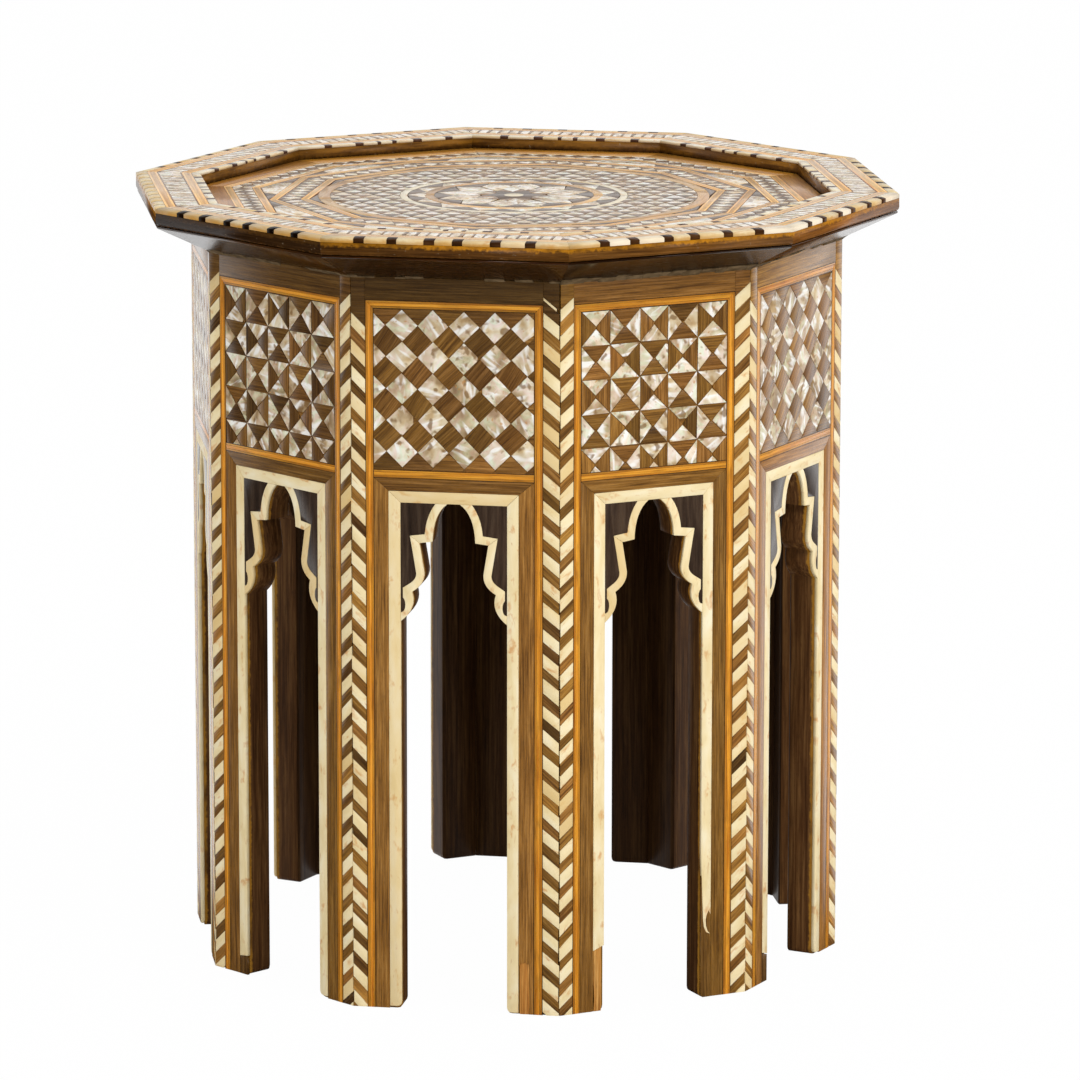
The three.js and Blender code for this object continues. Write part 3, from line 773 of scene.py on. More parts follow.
# Marquetry of the sides
herringbone = {
    "boneShare": 0.53, "count": 30, "jitter": 0.3, "seam": 0.7, "first": (443.0, 449.0), "period": (17.2, 0.045),
    "rise": 8.5, "leanSpread": 0.35, "sliverHalf": 0.7, "sliverShort": 2, "boneLight": 0.7, "spreads": (0.2, 0.16),
    # side and column: middle of the first bone strip, first period, its loss a strip, and rise
    "columns": {
        (9, 1): (446.5, 17.6, 0.055, 8.5), (0, 0): (443.6, 16.9, 0.012, -9.5), (0, 1): (446.1, 16.9, 0.047, -8.7),
        (1, 0): (448.8, 16.95, 0.05, 8.0), (1, 1): (447.4, 17.6, 0.06, 8.7), (2, 0): (444.9, 17.8, 0.085, -8.0),
    },
    "sliver": {(0, 1): 459.3},  # a thin bone strip let in above the first
}
stringing = {
    "width": 5.4, "lines": [0.0, 0.35, 1.5, 3.7, 5.0, 5.4], "lean": 0.35, "ease": 0.05, "joint": 0.12,
    "lineEase": 0.04, "lineSink": 0.04,
}
mosaic = {
    # squares, then cells: lightness and spread of the pearl, spread of the walnut, unevenness
    "shell": ((0.5, 0.2), (0.66, 0.22)), "wood": (0.09, 0.11), "uneven": (0.18, 0.25), "joints": (0.28, 0.24),
    "half": (10.12, 10.0), "squareRows": 12, "squareColumns": 6, "shift": {0: -3.2}, "shifts": (-1.5, 1.5),
    "top": 0.1, "whole": 0.8, "grains": (0.7, 1.05), "chips": 0.12, "chip": (1.2, 2.8),
    "cellHigh": 21.6, "columns": [-51.45, -31.6, -10.6, 9.0, 30.0, 51.45], "pointGap": 0.8, "pointUneven": 0.3,
    "thickness": 0.4, "bedSink": 0.02,
}
frieze = {"foot": mosaicTop + stringing["width"], "top": corniceFoot - 0.1}
veneerFoot = 0.2
# lightness by side is partly each veneer's own tone and partly painted light and shade: lighter on the sides towards
# the lamp, darker on the side away from it, and the frieze of side 0 darkened as painted shade under the cornice
veneerToneAndPaintedLight = {  # side: lightness of its frieze, rail, stiles, herringbone walnut and mosaic walnut
    9: (0.15, 0.19, 0.32, 0.28, 0.14), 0: (0.02, 0.33, 0.53, 0.31, 0.24),
    1: (0.43, 0.46, 0.41, 0.50, 0.35), 2: (0.62, 0.53, 0.60, 0.58, 0.40),
}
usualLight = (0.30, 0.40, 0.45, 0.42, 0.33)
stileLight = {(1, 1): 0.36}
# pearl's lightness by side is painted light and shade, set to how the light falls on each side
pearlLight = {9: -0.26, 0: 0.0, 1: 0.02, 2: -0.1}
# wood that fills a broken stile, and bare wood: lightness and spread, sink, depth or easing
patch = {
    "fillLight": (0.12, 0.04), "fillSink": 0.12, "fillDepth": 1.8,
    "bareLight": (0.5, 0.1), "bareSink": 0.3, "bareEase": 0.25,
}
bedTone = (0.4, 0.5, 0.5, 1.0)
stringOut = mosaicHalf + stringing["width"]
panel = [((-1, 0), mosaicHalf), ((1, 0), mosaicHalf), ((0, -1), -mosaicFoot), ((0, 1), mosaicTop)]


def lightOf(k, place):
    return veneerToneAndPaintedLight.get(k, usualLight)[place]


def herringboneTiles(k, rng):
    # slanting strips in two upright columns, bone and walnut by turns: strip i has its middle at
    # first - (period i - loss i (i - 1) / 2), and falls to the right on even sides; its end at
    # the corner is uneven
    boneStrips, walnutStrips = [], []
    boneSpread, walnutSpread = herringbone["spreads"]
    for column, left in enumerate((-halfSide, stringOut)):
        right = left + halfSide - stringOut
        usual = (rng.uniform(*herringbone["first"]), *herringbone["period"], herringbone["rise"] * (1 if k % 2 else -1))
        first, period, loss, rise = herringbone["columns"].get((k, column), usual)
        i = np.arange(herringbone["count"])
        middles = first - (period * i - loss * i * (i - 1) / 2)
        halfStrip = herringbone["boneShare"] * (period - loss * i) / 2
        edges = middles + halfStrip + herringbone["jitter"] * rng.standard_normal(len(i))
        feet = middles - halfStrip + herringbone["jitter"] * rng.standard_normal(len(i))
        lean = rise + herringbone["leanSpread"] * rng.standard_normal((len(i), 2))
        grain = np.arctan2(rise, right - left)
        corner = (1, 0) if column else (-1, 0)

        def lay(tiles, outline, direction, light, spread):
            lines = [((0, -1), -veneerFoot), (corner, halfSide - herringbone["seam"] * rng.random() ** 2)]
            addTile(tiles, rng, clipped(outline, lines), direction, light, spread, 4.0)

        cover = [(left, edges[0]), (right, edges[0] + lean[0, 0]), (right, frieze["top"]), (left, frieze["top"])]
        sliver, light = herringbone["sliver"].get((k, column)), lightOf(k, 0)
        if sliver:
            normal = np.array([-rise, right - left]) / np.hypot(rise, right - left)
            offset, half = normal @ [left, sliver], herringbone["sliverHalf"]
            lay(walnutStrips, cutBy(cover, -normal, -offset - half), 0.0, light, 0.02)
            cuts = [(normal, offset + half), (-normal, half - offset), ((1, 0), right - herringbone["sliverShort"])]
            lay(boneStrips, clipped(cover, cuts), grain, herringbone["boneLight"], 0.1)
            cover = cutBy(cover, normal, offset - half)
        lay(walnutStrips, cover, 0.0, light, 0.02)
        for i, (edge, foot) in enumerate(zip(edges, feet)):
            low, high = (right, foot + lean[i, 1]), (right, edge + lean[i, 0])
            lay(boneStrips, [(left, foot), low, high, (left, edge)], grain, herringbone["boneLight"], boneSpread)
            if i + 1 < len(edges):
                gap = [(left, edges[i + 1]), (right, edges[i + 1] + lean[i + 1, 0]), low, (left, foot)]
                lay(walnutStrips, gap, grain, lightOf(k, 3), walnutSpread)
    return boneStrips, walnutStrips


def stringingTiles(k, rng):
    # lines laid side by side, dark at both edges and brightest in the middle, mitred round the
    # top of each panel and square at the lower rail; the inner ones lean a little
    ambers, darks = [], []
    leans = stringing["lean"] * rng.standard_normal((2, 6)) * [0, 0, 1, 1, 0, 0]
    out, top = stringOut, frieze["foot"]
    for i, (near, far) in enumerate(zip(stringing["lines"][:-1], stringing["lines"][1:])):
        into = ambers if 0 < i < 4 else darks
        tone = (0.64 if i == 2 else 0.34), 0.06, 0.4
        for sign, lean in zip((-1, 1), leans):
            upright = np.array([(far + lean[i + 1] - out, veneerFoot), (far - out, top - far),
                                (near - out, top - near), (near + lean[i] - out, veneerFoot)])
            addTile(into, rng, upright if sign < 0 else mirrored(upright), np.pi / 2, *tone)
        head = [(near - out, top - near), (far - out, top - far), (out - far, top - far), (out - near, top - near)]
        addTile(into, rng, head, 0.0, *tone)
        addTile(into, rng, box(-mosaicHalf, mosaicHalf, mosaicFoot - far, mosaicFoot - near), 0.0, *tone)
    return ambers, darks


def surroundTiles(k, rng):
    # frieze over the panel, and the mitred stiles and rail between the stringing and the bone
    tiles = []
    railTop = mosaicFoot - stringing["width"]
    addTile(tiles, rng, box(-stringOut, stringOut, frieze["foot"], frieze["top"]), 0.0, lightOf(k, 0), 0.02)
    for sign in (-1, 1):
        edge = brokenStiles.get((k, sign), {}).get("veneer", [(0, veneerFoot)])
        edge = [(frameHalf + u, z) for u, z in edge]
        stile = np.array([(mosaicHalf, veneerFoot), (mosaicHalf, railTop), (frameHalf, frameTop), *edge])
        addTile(tiles, rng, stile * [sign, 1], np.pi / 2, stileLight.get((k, sign), lightOf(k, 2)), 0.04)
    rail = [(-mosaicHalf, railTop), (-frameHalf, frameTop), (frameHalf, frameTop), (mosaicHalf, railTop)]
    addTile(tiles, rng, rail, 0.0, lightOf(k, 1), 0.03)
    return tiles


def addShell(tiles, rng, k, outline, whole):
    # a pearl tile, now and then with a corner broken off
    light, spread = mosaic["shell"][k % 2]
    if rng.random() < mosaic["chips"] and whole:
        middle = outline.mean(0)
        corner = outline[rng.integers(len(outline))]
        normal = (corner - middle) / np.linalg.norm(corner - middle)
        outline = cutBy(outline, normal, corner @ normal - rng.uniform(*mosaic["chip"]))
    addTile(tiles, rng, outline, rng.uniform(0, np.pi), light + pearlLight.get(k, 0.0), spread, 4.0)


def squareTiles(k, rng):
    # squares on their corners, pearl and walnut by turns
    shells, woods = [], []
    wide, high = mosaic["half"]
    rows, reach = mosaic["squareRows"], mosaic["squareColumns"]
    shift = mosaic["shift"].get(k, rng.uniform(*mosaic["shifts"]))
    for row in range(rows):
        for column in range(-reach, reach + 1):
            if (row + column) % 2:
                continue
            u, z = shift + column * wide, mosaicTop - row * high - mosaic["top"]
            square = np.array([(u - wide, z), (u, z - high), (u + wide, z), (u, z + high)])
            square += mosaic["uneven"][0] * rng.standard_normal(square.shape)
            cut = clipped(square, panel)
            if len(cut) < 3:
                continue
            whole = abs(areaOf(cut)) > mosaic["whole"] * 2 * wide * high
            if row % 2 and row < rows - 1:
                addShell(shells, rng, k, cut, whole)
            else:
                grain = rng.uniform(*mosaic["grains"]) if whole else 0.0
                addTile(woods, rng, cut, grain, lightOf(k, 4), mosaic["wood"][0], 1.0)
    return shells, woods


def cellTiles(k, rng):
    # cells cut by their diagonals into four triangles, pearl and walnut by turns
    shells, woods = [], []
    high, edges = mosaic["cellHigh"], mosaic["columns"]
    for row, column in np.ndindex(len(edges) - 1, len(edges) - 1):
        left, right, top = edges[column], edges[column + 1], mosaicTop - row * high
        cell = box(left, right, top, top - high)
        cell += mosaic["uneven"][1] * rng.standard_normal(cell.shape)
        middle = cell.mean(0) + mosaic["pointUneven"] * rng.standard_normal(2)
        for i in range(4):
            corner, following = cell[i], cell[(i + 1) % 4]
            isShell = (i + row + column) % 2 == 0
            base = (corner + following) / 2
            inset = mosaic["pointGap"] * (base - middle) / np.linalg.norm(base - middle) if isShell else 0
            triangle = clipped([corner, following, middle + inset], panel)
            if isShell:
                addShell(shells, rng, k, triangle, len(triangle) == 3)
            else:
                grain = np.arctan2(*(following - corner)[::-1])
                addTile(woods, rng, triangle, grain, lightOf(k, 4), mosaic["wood"][1], 4.0)
    return shells, woods


herringboneBone, sideAmber, sideLines, sideEbony, sideBare = [], [], [], [], []
for k in range(sideCount):
    rng = np.random.default_rng(seed + k)
    label = f"{k + 1:02d}"
    makePiece(f"board_{label}", boardWood, boardParts(k, rng), [f"side_panel_{label}"])
    laid = dict(axes=sideAxes(k), thick=arch["thickness"], rng=rng, mitre=True)

    def lay(tiles, sink=0.0, **changes):
        return prisms([(uneven(k, tile[0]), *tile[1:]) for tile in tiles], top=faceOut - sink, **{**laid, **changes})

    makePiece(f"arch_bone_{label}", bone, lay(boneTiles(k, rng)), [f"bone_arch_{label}"])
    shells, woods = cellTiles(k, rng) if k % 2 else squareTiles(k, rng)
    shells = lay(shells, thick=mosaic["thickness"], joint=mosaic["joints"][k % 2])
    makePiece(f"mosaic_pearl_{label}", pearl, shells, [f"mosaic_panel_{label}"])
    boneStrips, walnutStrips = herringboneTiles(k, rng)
    ambers, darks = stringingTiles(k, rng)
    bed = [(box(-mosaicHalf, mosaicHalf, mosaicFoot, mosaicTop), 0.0, bedTone)]
    bedSink = mosaic["thickness"] + mosaic["bedSink"]
    veneers = lay(surroundTiles(k, rng) + walnutStrips) + lay(woods, thick=mosaic["thickness"])
    veneers += lay(bed, bedSink, thick=arch["thickness"] - bedSink, joint=0.0)
    filled = stileTiles(k, rng, "fill", *patch["fillLight"])
    veneers += lay(filled, patch["fillSink"], thick=patch["fillDepth"], joint=0.0)
    makePiece(f"veneer_{label}", walnut, veneers)
    herringboneBone += lay(boneStrips)
    sideAmber += lay(ambers, joint=stringing["joint"], ease=stringing["ease"])
    bare, sink = stileTiles(k, rng, "bare", *patch["bareLight"]), patch["bareSink"]
    sideBare += lay(bare, sink, thick=arch["thickness"] - sink, joint=0.0, ease=patch["bareEase"])
    sideLines += lay(darks, stringing["lineSink"], joint=0.0, ease=stringing["lineEase"])
    spandrels = []
    for sign in (1, -1):
        addTile(spandrels, rng, spandrel * [sign, 1], np.pi / 2)
    sideEbony += lay(spandrels, arch["spandrelSink"])
makePiece("herringbone_bone", bone, herringboneBone)
makePiece("side_stringing", amber, sideAmber)
makePiece("side_dark_lines", darkLine, sideLines)
makePiece("spandrels", ebony, sideEbony)
makePiece("bare_patches", bareWood, sideBare)
print("sides laid")

# Cornice and rim
rim = {
    "edgingWidth": 6.9, "lipWidth": 5.5, "stringingWidth": 6.7, "bed": 1.8, "veneer": 1.6,
    "boneDepth": rimTop - edgingLow[2], "lipDepth": rimTop - lipFoot,
    "lines": [0.0, 0.3, 1.7, 4.9, 6.3, 6.7], "bandEdge": 0.5,
    "tilePitch": 7.07, "tileCount": 20, "tileWidth": 5.45, "tileUneven": (0.2, 0.25, 0.3),
    "edgingShares": [.134, .042, .091, .042, .11, .042, .073, .042, .111, .042, .095, .042, .134],
    "squaredSides": {8: 11}, "squareShares": [0.086, 0.005],  # side: bone squares in its edging
    "lipShares": [.119, .042, .139, .046, .096, .024, .064, .02, .081, .046, .137, .042, .144],
    "shareUneven": 0.03, "edgingGap": 0.05, "lipLight": 0.7,
    # side: lightness of the rim's wood, of the cornice and of the edging, and the usual ones; by side these are painted
    # light and shade, lighter on the sides towards the lamp, and the cornice's lightness on sides 9 and 2 is painted
    # reflection
    "woodLight": {9: 0.06, 0: 0.3, 1: 0.6, 2: 0.86}, "corniceLight": {9: 0.5, 0: 0.4, 1: 0.05, 2: 1.0},
    "edgingLight": {9: 0.1, 0: 0.55, 1: 0.95, 2: 0.85}, "usualLight": (0.45, 0.5, 0.6),
    # fillet between frieze and cornice: share of its length filled and size by side; its runs,
    # how far their cuts stray and how far they pass the corner; range of widths and heights
    "fillet": {0: (0.6, 0.7), 1: (1.0, 1.15)}, "usualFillet": (0.75, 0.85), "filletRuns": (14, 2.5, 3),
    "filletWide": (0.75, 1.1), "filletHigh": (0.6, 1.1), "filletEase": 0.4, "filletOverlap": 0.3,
}
pastMitre = 200.0  # a cut that lies past every mitre
edgeIn, lipOut = rimOut - rim["edgingWidth"], rimIn + rim["lipWidth"]
edgingFoot, lipBed = rimTop - rim["boneDepth"], rimTop - rim["lipDepth"]
corniceSection = [
    (corniceIn + 0.1, corniceFoot), (corniceIn + 0.8, corniceFoot), (corniceOut - 0.6, corniceTop - 1.4),
    (corniceOut, corniceTop - 0.9), (corniceOut, corniceTop), (corniceIn + 0.1, corniceTop),
]
rimSection = [
    (rimIn, rimFoot), (rimOut - 2.6, rimFoot), (rimOut - 1.0, rimFoot + 0.5), (rimOut - 0.25, rimFoot + 1.5),
    (rimOut, rimFoot + 2.8), (rimOut - 0.1, edgingFoot - 0.1), (edgeIn - 0.2, edgingFoot - 0.1),
    (edgeIn - 0.2, rimTop - rim["bed"]), (lipOut + 0.2, rimTop - rim["bed"]), (lipOut + 0.2, lipBed - 0.1),
    (rimIn, lipBed - 0.1),
]
edgingSection = [
    (edgeIn, edgingFoot), (rimOut - 0.1, edgingFoot), (rimOut, edgingFoot + 0.2), (rimOut, rimTop - 1.0),
    (rimOut - 0.3, rimTop - 0.7), (rimOut - 1.0, rimTop - 0.5), (rimOut - 3.0, rimTop - 0.05), (edgeIn, rimTop),
]
lipSection = [
    (rimIn, lipBed), (lipOut, lipBed), (lipOut, rimTop),
    (rimIn + 0.6, rimTop), (rimIn + 0.15, rimTop - 0.15), (rimIn, rimTop - 0.5),
]
filletSection = np.array([
    (-0.6, -1.9), (0.35, -1.6), (1.3, -0.6), (3.3, 0.9), (5.6, 2.3), (5.4, 3.2), (0.4, 0.6), (-0.6, 0.2),
])
mitres = [((1, slope), 0.0), ((-1, slope), 0.0)]


def strip(outer, inner):
    # a level strip of a side between two distances, mitred at its ends
    wide, narrow = outer * slope, inner * slope
    return np.array([(-wide, -outer), (wide, -outer), (narrow, -inner), (-narrow, -inner)])


def turnedPoints(points, turn):
    # (across, inwards) of a side's share to x and y
    turned = topAxes(turn)
    points = np.asarray(points, float)
    return points[:, :1] * turned[0, :2] + points[:, 1:] * turned[1, :2]


def shareCuts(shares, length, rng):
    # cuts at the running sum of the shares
    shares = np.array(shares) * (1 + rim["shareUneven"] * rng.standard_normal(len(shares)))
    places = np.concatenate([[0], np.cumsum(shares / shares.sum())])
    return (places[:-1] - 0.5) * length, (places[1:] - 0.5) * length


def bandLines(outer, lines, rng, ambers, darks, turn=0.0):
    # stringing of a level band: dark edges, and amber that is browner in its middle
    for i, (near, far) in enumerate(zip(lines[:-1], lines[1:])):
        outline = turnedPoints(strip(outer - near, outer - far), turn)
        addTile(ambers if 0 < i < 4 else darks, rng, outline, turn, 0.5 if i == 2 else 0.9, 0.05, 0.4)


def bandTiles(rng, outer, inner):
    # pearl tiles across the rim, with a walnut strip between each two and at both ends
    shells, strips = [], []
    stray, widthStray, leanStray = rim["tileUneven"]
    middles = (np.arange(rim["tileCount"]) - (rim["tileCount"] - 1) / 2) * rim["tilePitch"]
    middles += stray * rng.standard_normal(len(middles))
    half = (rim["tileWidth"] + widthStray * rng.standard_normal(len(middles))) / 2
    nextEdges = [*(middles - half)[1:], pastMitre]
    for middle, reach, nextEdge in zip(middles, half, nextEdges):
        lean = leanStray * rng.standard_normal(2)[0]
        tile = [(middle - reach + lean, -outer), (middle + reach + lean, -outer), (middle + reach, -inner),
                (middle - reach, -inner)]
        addTile(shells, rng, clipped(tile, mitres), np.pi / 2, 0.6, 0.2, 4.0)
        addTile(strips, rng, clipped(box(middle + reach, nextEdge, -outer, -inner), mitres), np.pi / 2, 0.55)
    first = box(-pastMitre, middles[0] - half[0], -outer, -inner)
    addTile(strips, rng, clipped(first, mitres), np.pi / 2, 0.55)
    return shells, strips


rimPieces = (
    ("cornice", "walnut", corniceWood, numbered("cornice_moulding")),
    ("rim_wood", "walnut", rimWood, numbered("rim_segment")),
    ("rim_edging_bone", "bone", edgingBone, ["rim_bone_edging"]),
    ("rim_edging_ebony", "ebony", edgingEbony, []),
    ("rim_lip_bone", "bone", boneTop, ["rim_bone_lip"]),
    ("rim_lip_ebony", "ebony", ebonyTop, []),
    ("rim_stringing", "amber_wood", amberTop, ["rim_outer_stringing", "rim_inner_stringing"]),
    ("rim_dark_lines", "ebony", darkLineTop, []),
    ("rim_pearl", "pearl", pearlTop, ["rim_pearl_band"]),
    ("rim_walnut_strips", "walnut", walnutTop, []),
    ("cornice_fillet", "walnut", filler, []),
)
rimParts = {name: [] for name, *_ in rimPieces}
bandOut, bandIn = edgeIn - rim["stringingWidth"], lipOut + rim["stringingWidth"]
for k in range(sideCount):
    rng = np.random.default_rng(seed + 100 + k)
    axes = sideAxes(k)
    woodLight, corniceLight, edgingLight = (
        rim[key].get(k, usual) for key, usual in zip(("woodLight", "corniceLight", "edgingLight"), rim["usualLight"]))
    for name, section, light in (("cornice", corniceSection, corniceLight), ("rim_wood", rimSection, woodLight)):
        rimParts[name] += bars(section, [-pastMitre], [pastMitre], axes, rng, [toneFor(rng, light, 0.02)])
    squares = rim["squaredSides"].get(k, 0)
    edgingShares = (rim["squareShares"] * squares)[:-1] if squares else rim["edgingShares"]
    for name, shares, section, distance, light in (
        ("rim_edging", edgingShares, edgingSection, rimOut, edgingLight),
        ("rim_lip", rim["lipShares"], lipSection, rimIn, rim["lipLight"]),
    ):
        starts, ends = shareCuts(shares, 2 * distance * slope, rng)
        starts[0], ends[-1] = -pastMitre, pastMitre
        starts, ends = starts + rim["edgingGap"], ends - rim["edgingGap"]
        for first, kind in enumerate(("bone", "ebony")):
            tones = [toneFor(rng, light, 0.12) for _ in starts[first::2]]
            rimParts[f"{name}_{kind}"] += bars(section, starts[first::2], ends[first::2], axes, rng, tones)
    ambers, darks, edge = [], [], rim["bandEdge"]
    for outer in (edgeIn, bandIn):
        bandLines(outer, rim["lines"], rng, ambers, darks)
    for outer in (bandOut, bandIn + edge):
        addTile(darks, rng, strip(outer, outer - edge), 0.0, smallest=0.4)
    shells, strips = bandTiles(rng, bandOut - edge, bandIn + edge)
    for name, tiles, sink, *laid in (
        ("rim_stringing", ambers, 0.0, 0.0, 0.03), ("rim_dark_lines", darks, 0.04, 0.0, 0.04),
        ("rim_pearl", shells, 0.0, 0.24), ("rim_walnut_strips", strips, 0.02, 0.1),
    ):
        rimParts[name] += prisms(tiles, topAxes(k * stepAngle), rimTop - sink, rim["veneer"], rng, *laid)
    filled, size = rim["fillet"].get(k, rim["usualFillet"])
    runs, stray, past = rim["filletRuns"]
    cuts = np.linspace(-halfSide - past, halfSide + past, runs + 1)
    cuts += np.concatenate([[0], rng.uniform(-stray, stray, runs - 1), [0]])
    for start, end in zip(cuts[:-1], cuts[1:] + rim["filletOverlap"]):
        if rng.random() < filled:
            section = filletSection * [size * rng.uniform(*rim["filletWide"]), size * rng.uniform(*rim["filletHigh"])]
            section += [faceOut, corniceFoot]
            rimParts["cornice_fillet"] += bars(section, [start], [end], axes, rng, [toneFor(rng)], rim["filletEase"])

for name, slotName, finish, replaced in rimPieces:
    makePiece(name, finish, rimParts[name], replaced)
print("rim laid")

# Tray floor
tray = {
    "edge": -trayLow[1], "borderIn": -nodeBox("tray_outer_stringing")[0][1], "borderGap": 0.2,
    "stringing": 5.7, "lines": [0.0, 0.3, 1.4, 4.2, 5.3, 5.7], "outerBand": 12.4, "turnedBand": 13.7,
    "figureGap": 0.3, "cornerGaps": (0.4, 0.15), "cornerShares": (0.42, 0.5), "circleGaps": (0.1, 0.2),
    "veneer": 1.2, "ground": 2.0, "trellis": 13.0, "trellisTurn": 10.3, "trellisOut": 119.0, "trellisIn": 73.9,
    "trellisReach": 11, "pearlLight": 0.62, "walnutLight": 0.45, "darkLight": 0.6,
    "circleIn": 119.2, "circleOut": nodeBox("tray_circle_ring")[1][0],
    # rings: outer and inner radius, pieces, and lightness; turns are in degrees
    "boneRing": (73.9, 69.0, 9, 0.7), "amberRing": (57.8, 51.8, 8, 0.6), "ringSteps": 6,
    "zigzag": (68.8, 57.9, 15), "kiteRing": (50.6, 39.2, 12), "kiteReach": 1.1, "firstKite": 3.0,
    # star: radius of points and valleys; petal: far and widest radius, and half its spread
    "star": (20.0, 13.5), "petal": (38.4, 25.0, 13.0), "edgeShares": (1.0, 0.67, 0.33, 0.04), "eye": (6.5, 18),
    # bands of squares with triangles between: how many squares, and then for squares and for
    # triangles the wood or pearl, grain (None where it is any), lightness and spread
    "outerSquares": (9, ("walnut", np.pi / 4, 0.35, 0.15), ("pearl", None, 0.6, 0.2)),
    "turnedSquares": (8, ("pearl", None, 0.62, 0.2), ("walnut", 0.0, 0.4, 0.15)),
}
trayTiles = {name: [] for name in ("walnut", "border", "amber", "lines", "pearl", "bone", "dark")}


def trayAdd(kind, rng, outline, turn, grain, *looks):
    addTile(trayTiles[kind], rng, turnedPoints(outline, turn), grain + turn, *looks)


def squareBand(rng, outer, inner, turn, count, *kinds):
    # squares point to point along a side, with triangles between, and stringing inside them
    pitch, middle = 2 * inner * slope / count, (outer + inner) / 2
    for i in range(-1, count + 1):
        u = (i - (count - 1) / 2) * pitch
        square = [(u - pitch / 2, -middle), (u, -outer), (u + pitch / 2, -middle), (u, -inner)]
        triangles = [[(u, -edge), (u + pitch, -edge), (u + pitch / 2, -middle)] for edge in (outer, inner)]
        for outline, (kind, grain, *looks) in zip([square, *triangles], (kinds[0], kinds[1], kinds[1])):
            grain = rng.uniform(0, np.pi) if grain is None else grain
            trayAdd(kind, rng, clipped(outline, mitres), turn, grain, *looks)
    bandLines(inner, tray["lines"], rng, trayTiles["amber"], trayTiles["lines"], turn)


def ringTile(inner, outer, start, end, steps):
    # a piece of a ring between two radii and two angles
    turn = np.linspace(start, end, steps + 1)
    arc = np.stack([np.cos(turn), np.sin(turn)], 1)
    return np.concatenate([arc * outer, arc[::-1] * inner])


outerBandOut = tray["borderIn"] - tray["stringing"]
outerBandIn = outerBandOut - tray["outerBand"]
figureIn = outerBandIn - tray["stringing"]  # where the outer ten-sided figure ends
turnedEdge = (figureIn - tray["figureGap"]) * np.cos(halfAngle)
turnedOut = turnedEdge - tray["stringing"]
turnedIn = turnedOut - tray["turnedBand"]

# Corner between the two ten-sided figures: pearl at its point, dark tips beside it
apex = np.array([0, tray["cornerGaps"][0] - figureIn / np.cos(halfAngle)])
tip = np.array([-(figureIn - tray["figureGap"]) * np.sin(halfAngle), -turnedEdge - tray["cornerGaps"][1]])
shoulder, foot = apex + tray["cornerShares"][0] * (tip - apex), tip * [tray["cornerShares"][1], 1]
across = np.array([-1, 1])

# Corner between the turned figure and the circle, and a tenth of the circle
wide = np.linspace(-halfAngle, halfAngle, 9)[2:-2]
circleArc = np.stack([np.sin(wide), -np.cos(wide)], 1) * (tray["circleOut"] + tray["circleGaps"][0])
circlePoint = [0, tray["circleGaps"][1] - (turnedIn - tray["stringing"]) / np.cos(halfAngle)]
circleRing = ringTile(tray["circleIn"], tray["circleOut"], -halfAngle, halfAngle, 8)

for k in range(sideCount):
    rng = np.random.default_rng(seed + 200 + k)
    turn = k * stepAngle
    cornerTurn = turn + halfAngle
    trayAdd("border", rng, strip(tray["edge"] - tray["borderGap"], tray["borderIn"]), turn, 0.0, 0.5, 0.1)
    bandLines(tray["borderIn"], tray["lines"], rng, trayTiles["amber"], trayTiles["lines"], turn)
    squareBand(rng, outerBandOut, outerBandIn, turn, *tray["outerSquares"])
    trayAdd("pearl", rng, [apex, shoulder, foot, foot * across, shoulder * across], cornerTurn, 0.0, 0.7, 0.12)
    trayAdd("dark", rng, [shoulder, tip, foot], cornerTurn, 0.0, 0.6)
    trayAdd("dark", rng, [shoulder * across, foot * across, tip * across], cornerTurn, 0.0, 0.6)
    bandLines(turnedEdge, tray["lines"], rng, trayTiles["amber"], trayTiles["lines"], cornerTurn)
    squareBand(rng, turnedOut, turnedIn, cornerTurn, *tray["turnedSquares"])
    trayAdd("dark", rng, [circlePoint, *circleArc], turn, 0.0, 0.5, 0.2, 0.5)
    trayAdd("amber", rng, circleRing, turn, np.pi / 2, 0.44, 0.05)


def trellisTiles(rng, turn):
    # equal triangles in rows, point away from the camera in pearl and towards it in walnut,
    # cut to the ring between the circle and the bone ring
    side = tray["trellis"]
    high, reach = side * np.sqrt(3) / 2, tray["trellisReach"]
    turned = np.array([[np.cos(turn), np.sin(turn)], [-np.sin(turn), np.cos(turn)]])
    for row in range(-reach, reach):
        for column in range(-reach, reach + 1):
            left = np.array([(column + 0.5 * (row % 2)) * side, row * high])
            for kind, corners in (
                ("pearl", [(0, 0), (side, 0), (side / 2, high)]),
                ("walnut", [(side, 0), (1.5 * side, high), (side / 2, high)]),
            ):
                outline = (left + np.array(corners)) @ turned
                middle = outline.mean(0)
                radius = np.linalg.norm(middle)
                if not tray["trellisIn"] - side < radius < tray["trellisOut"] + side:
                    continue
                away = middle / radius
                outline = clipped(outline, [(away, tray["trellisOut"]), (-away, -tray["trellisIn"])])
                grain = turn if kind == "walnut" else rng.uniform(0, np.pi)
                addTile(trayTiles[kind], rng, outline, grain, tray[f"{kind}Light"], 0.2, 2.5)


def spot(radius, angle):
    return radius * np.array([np.cos(angle), np.sin(angle)])


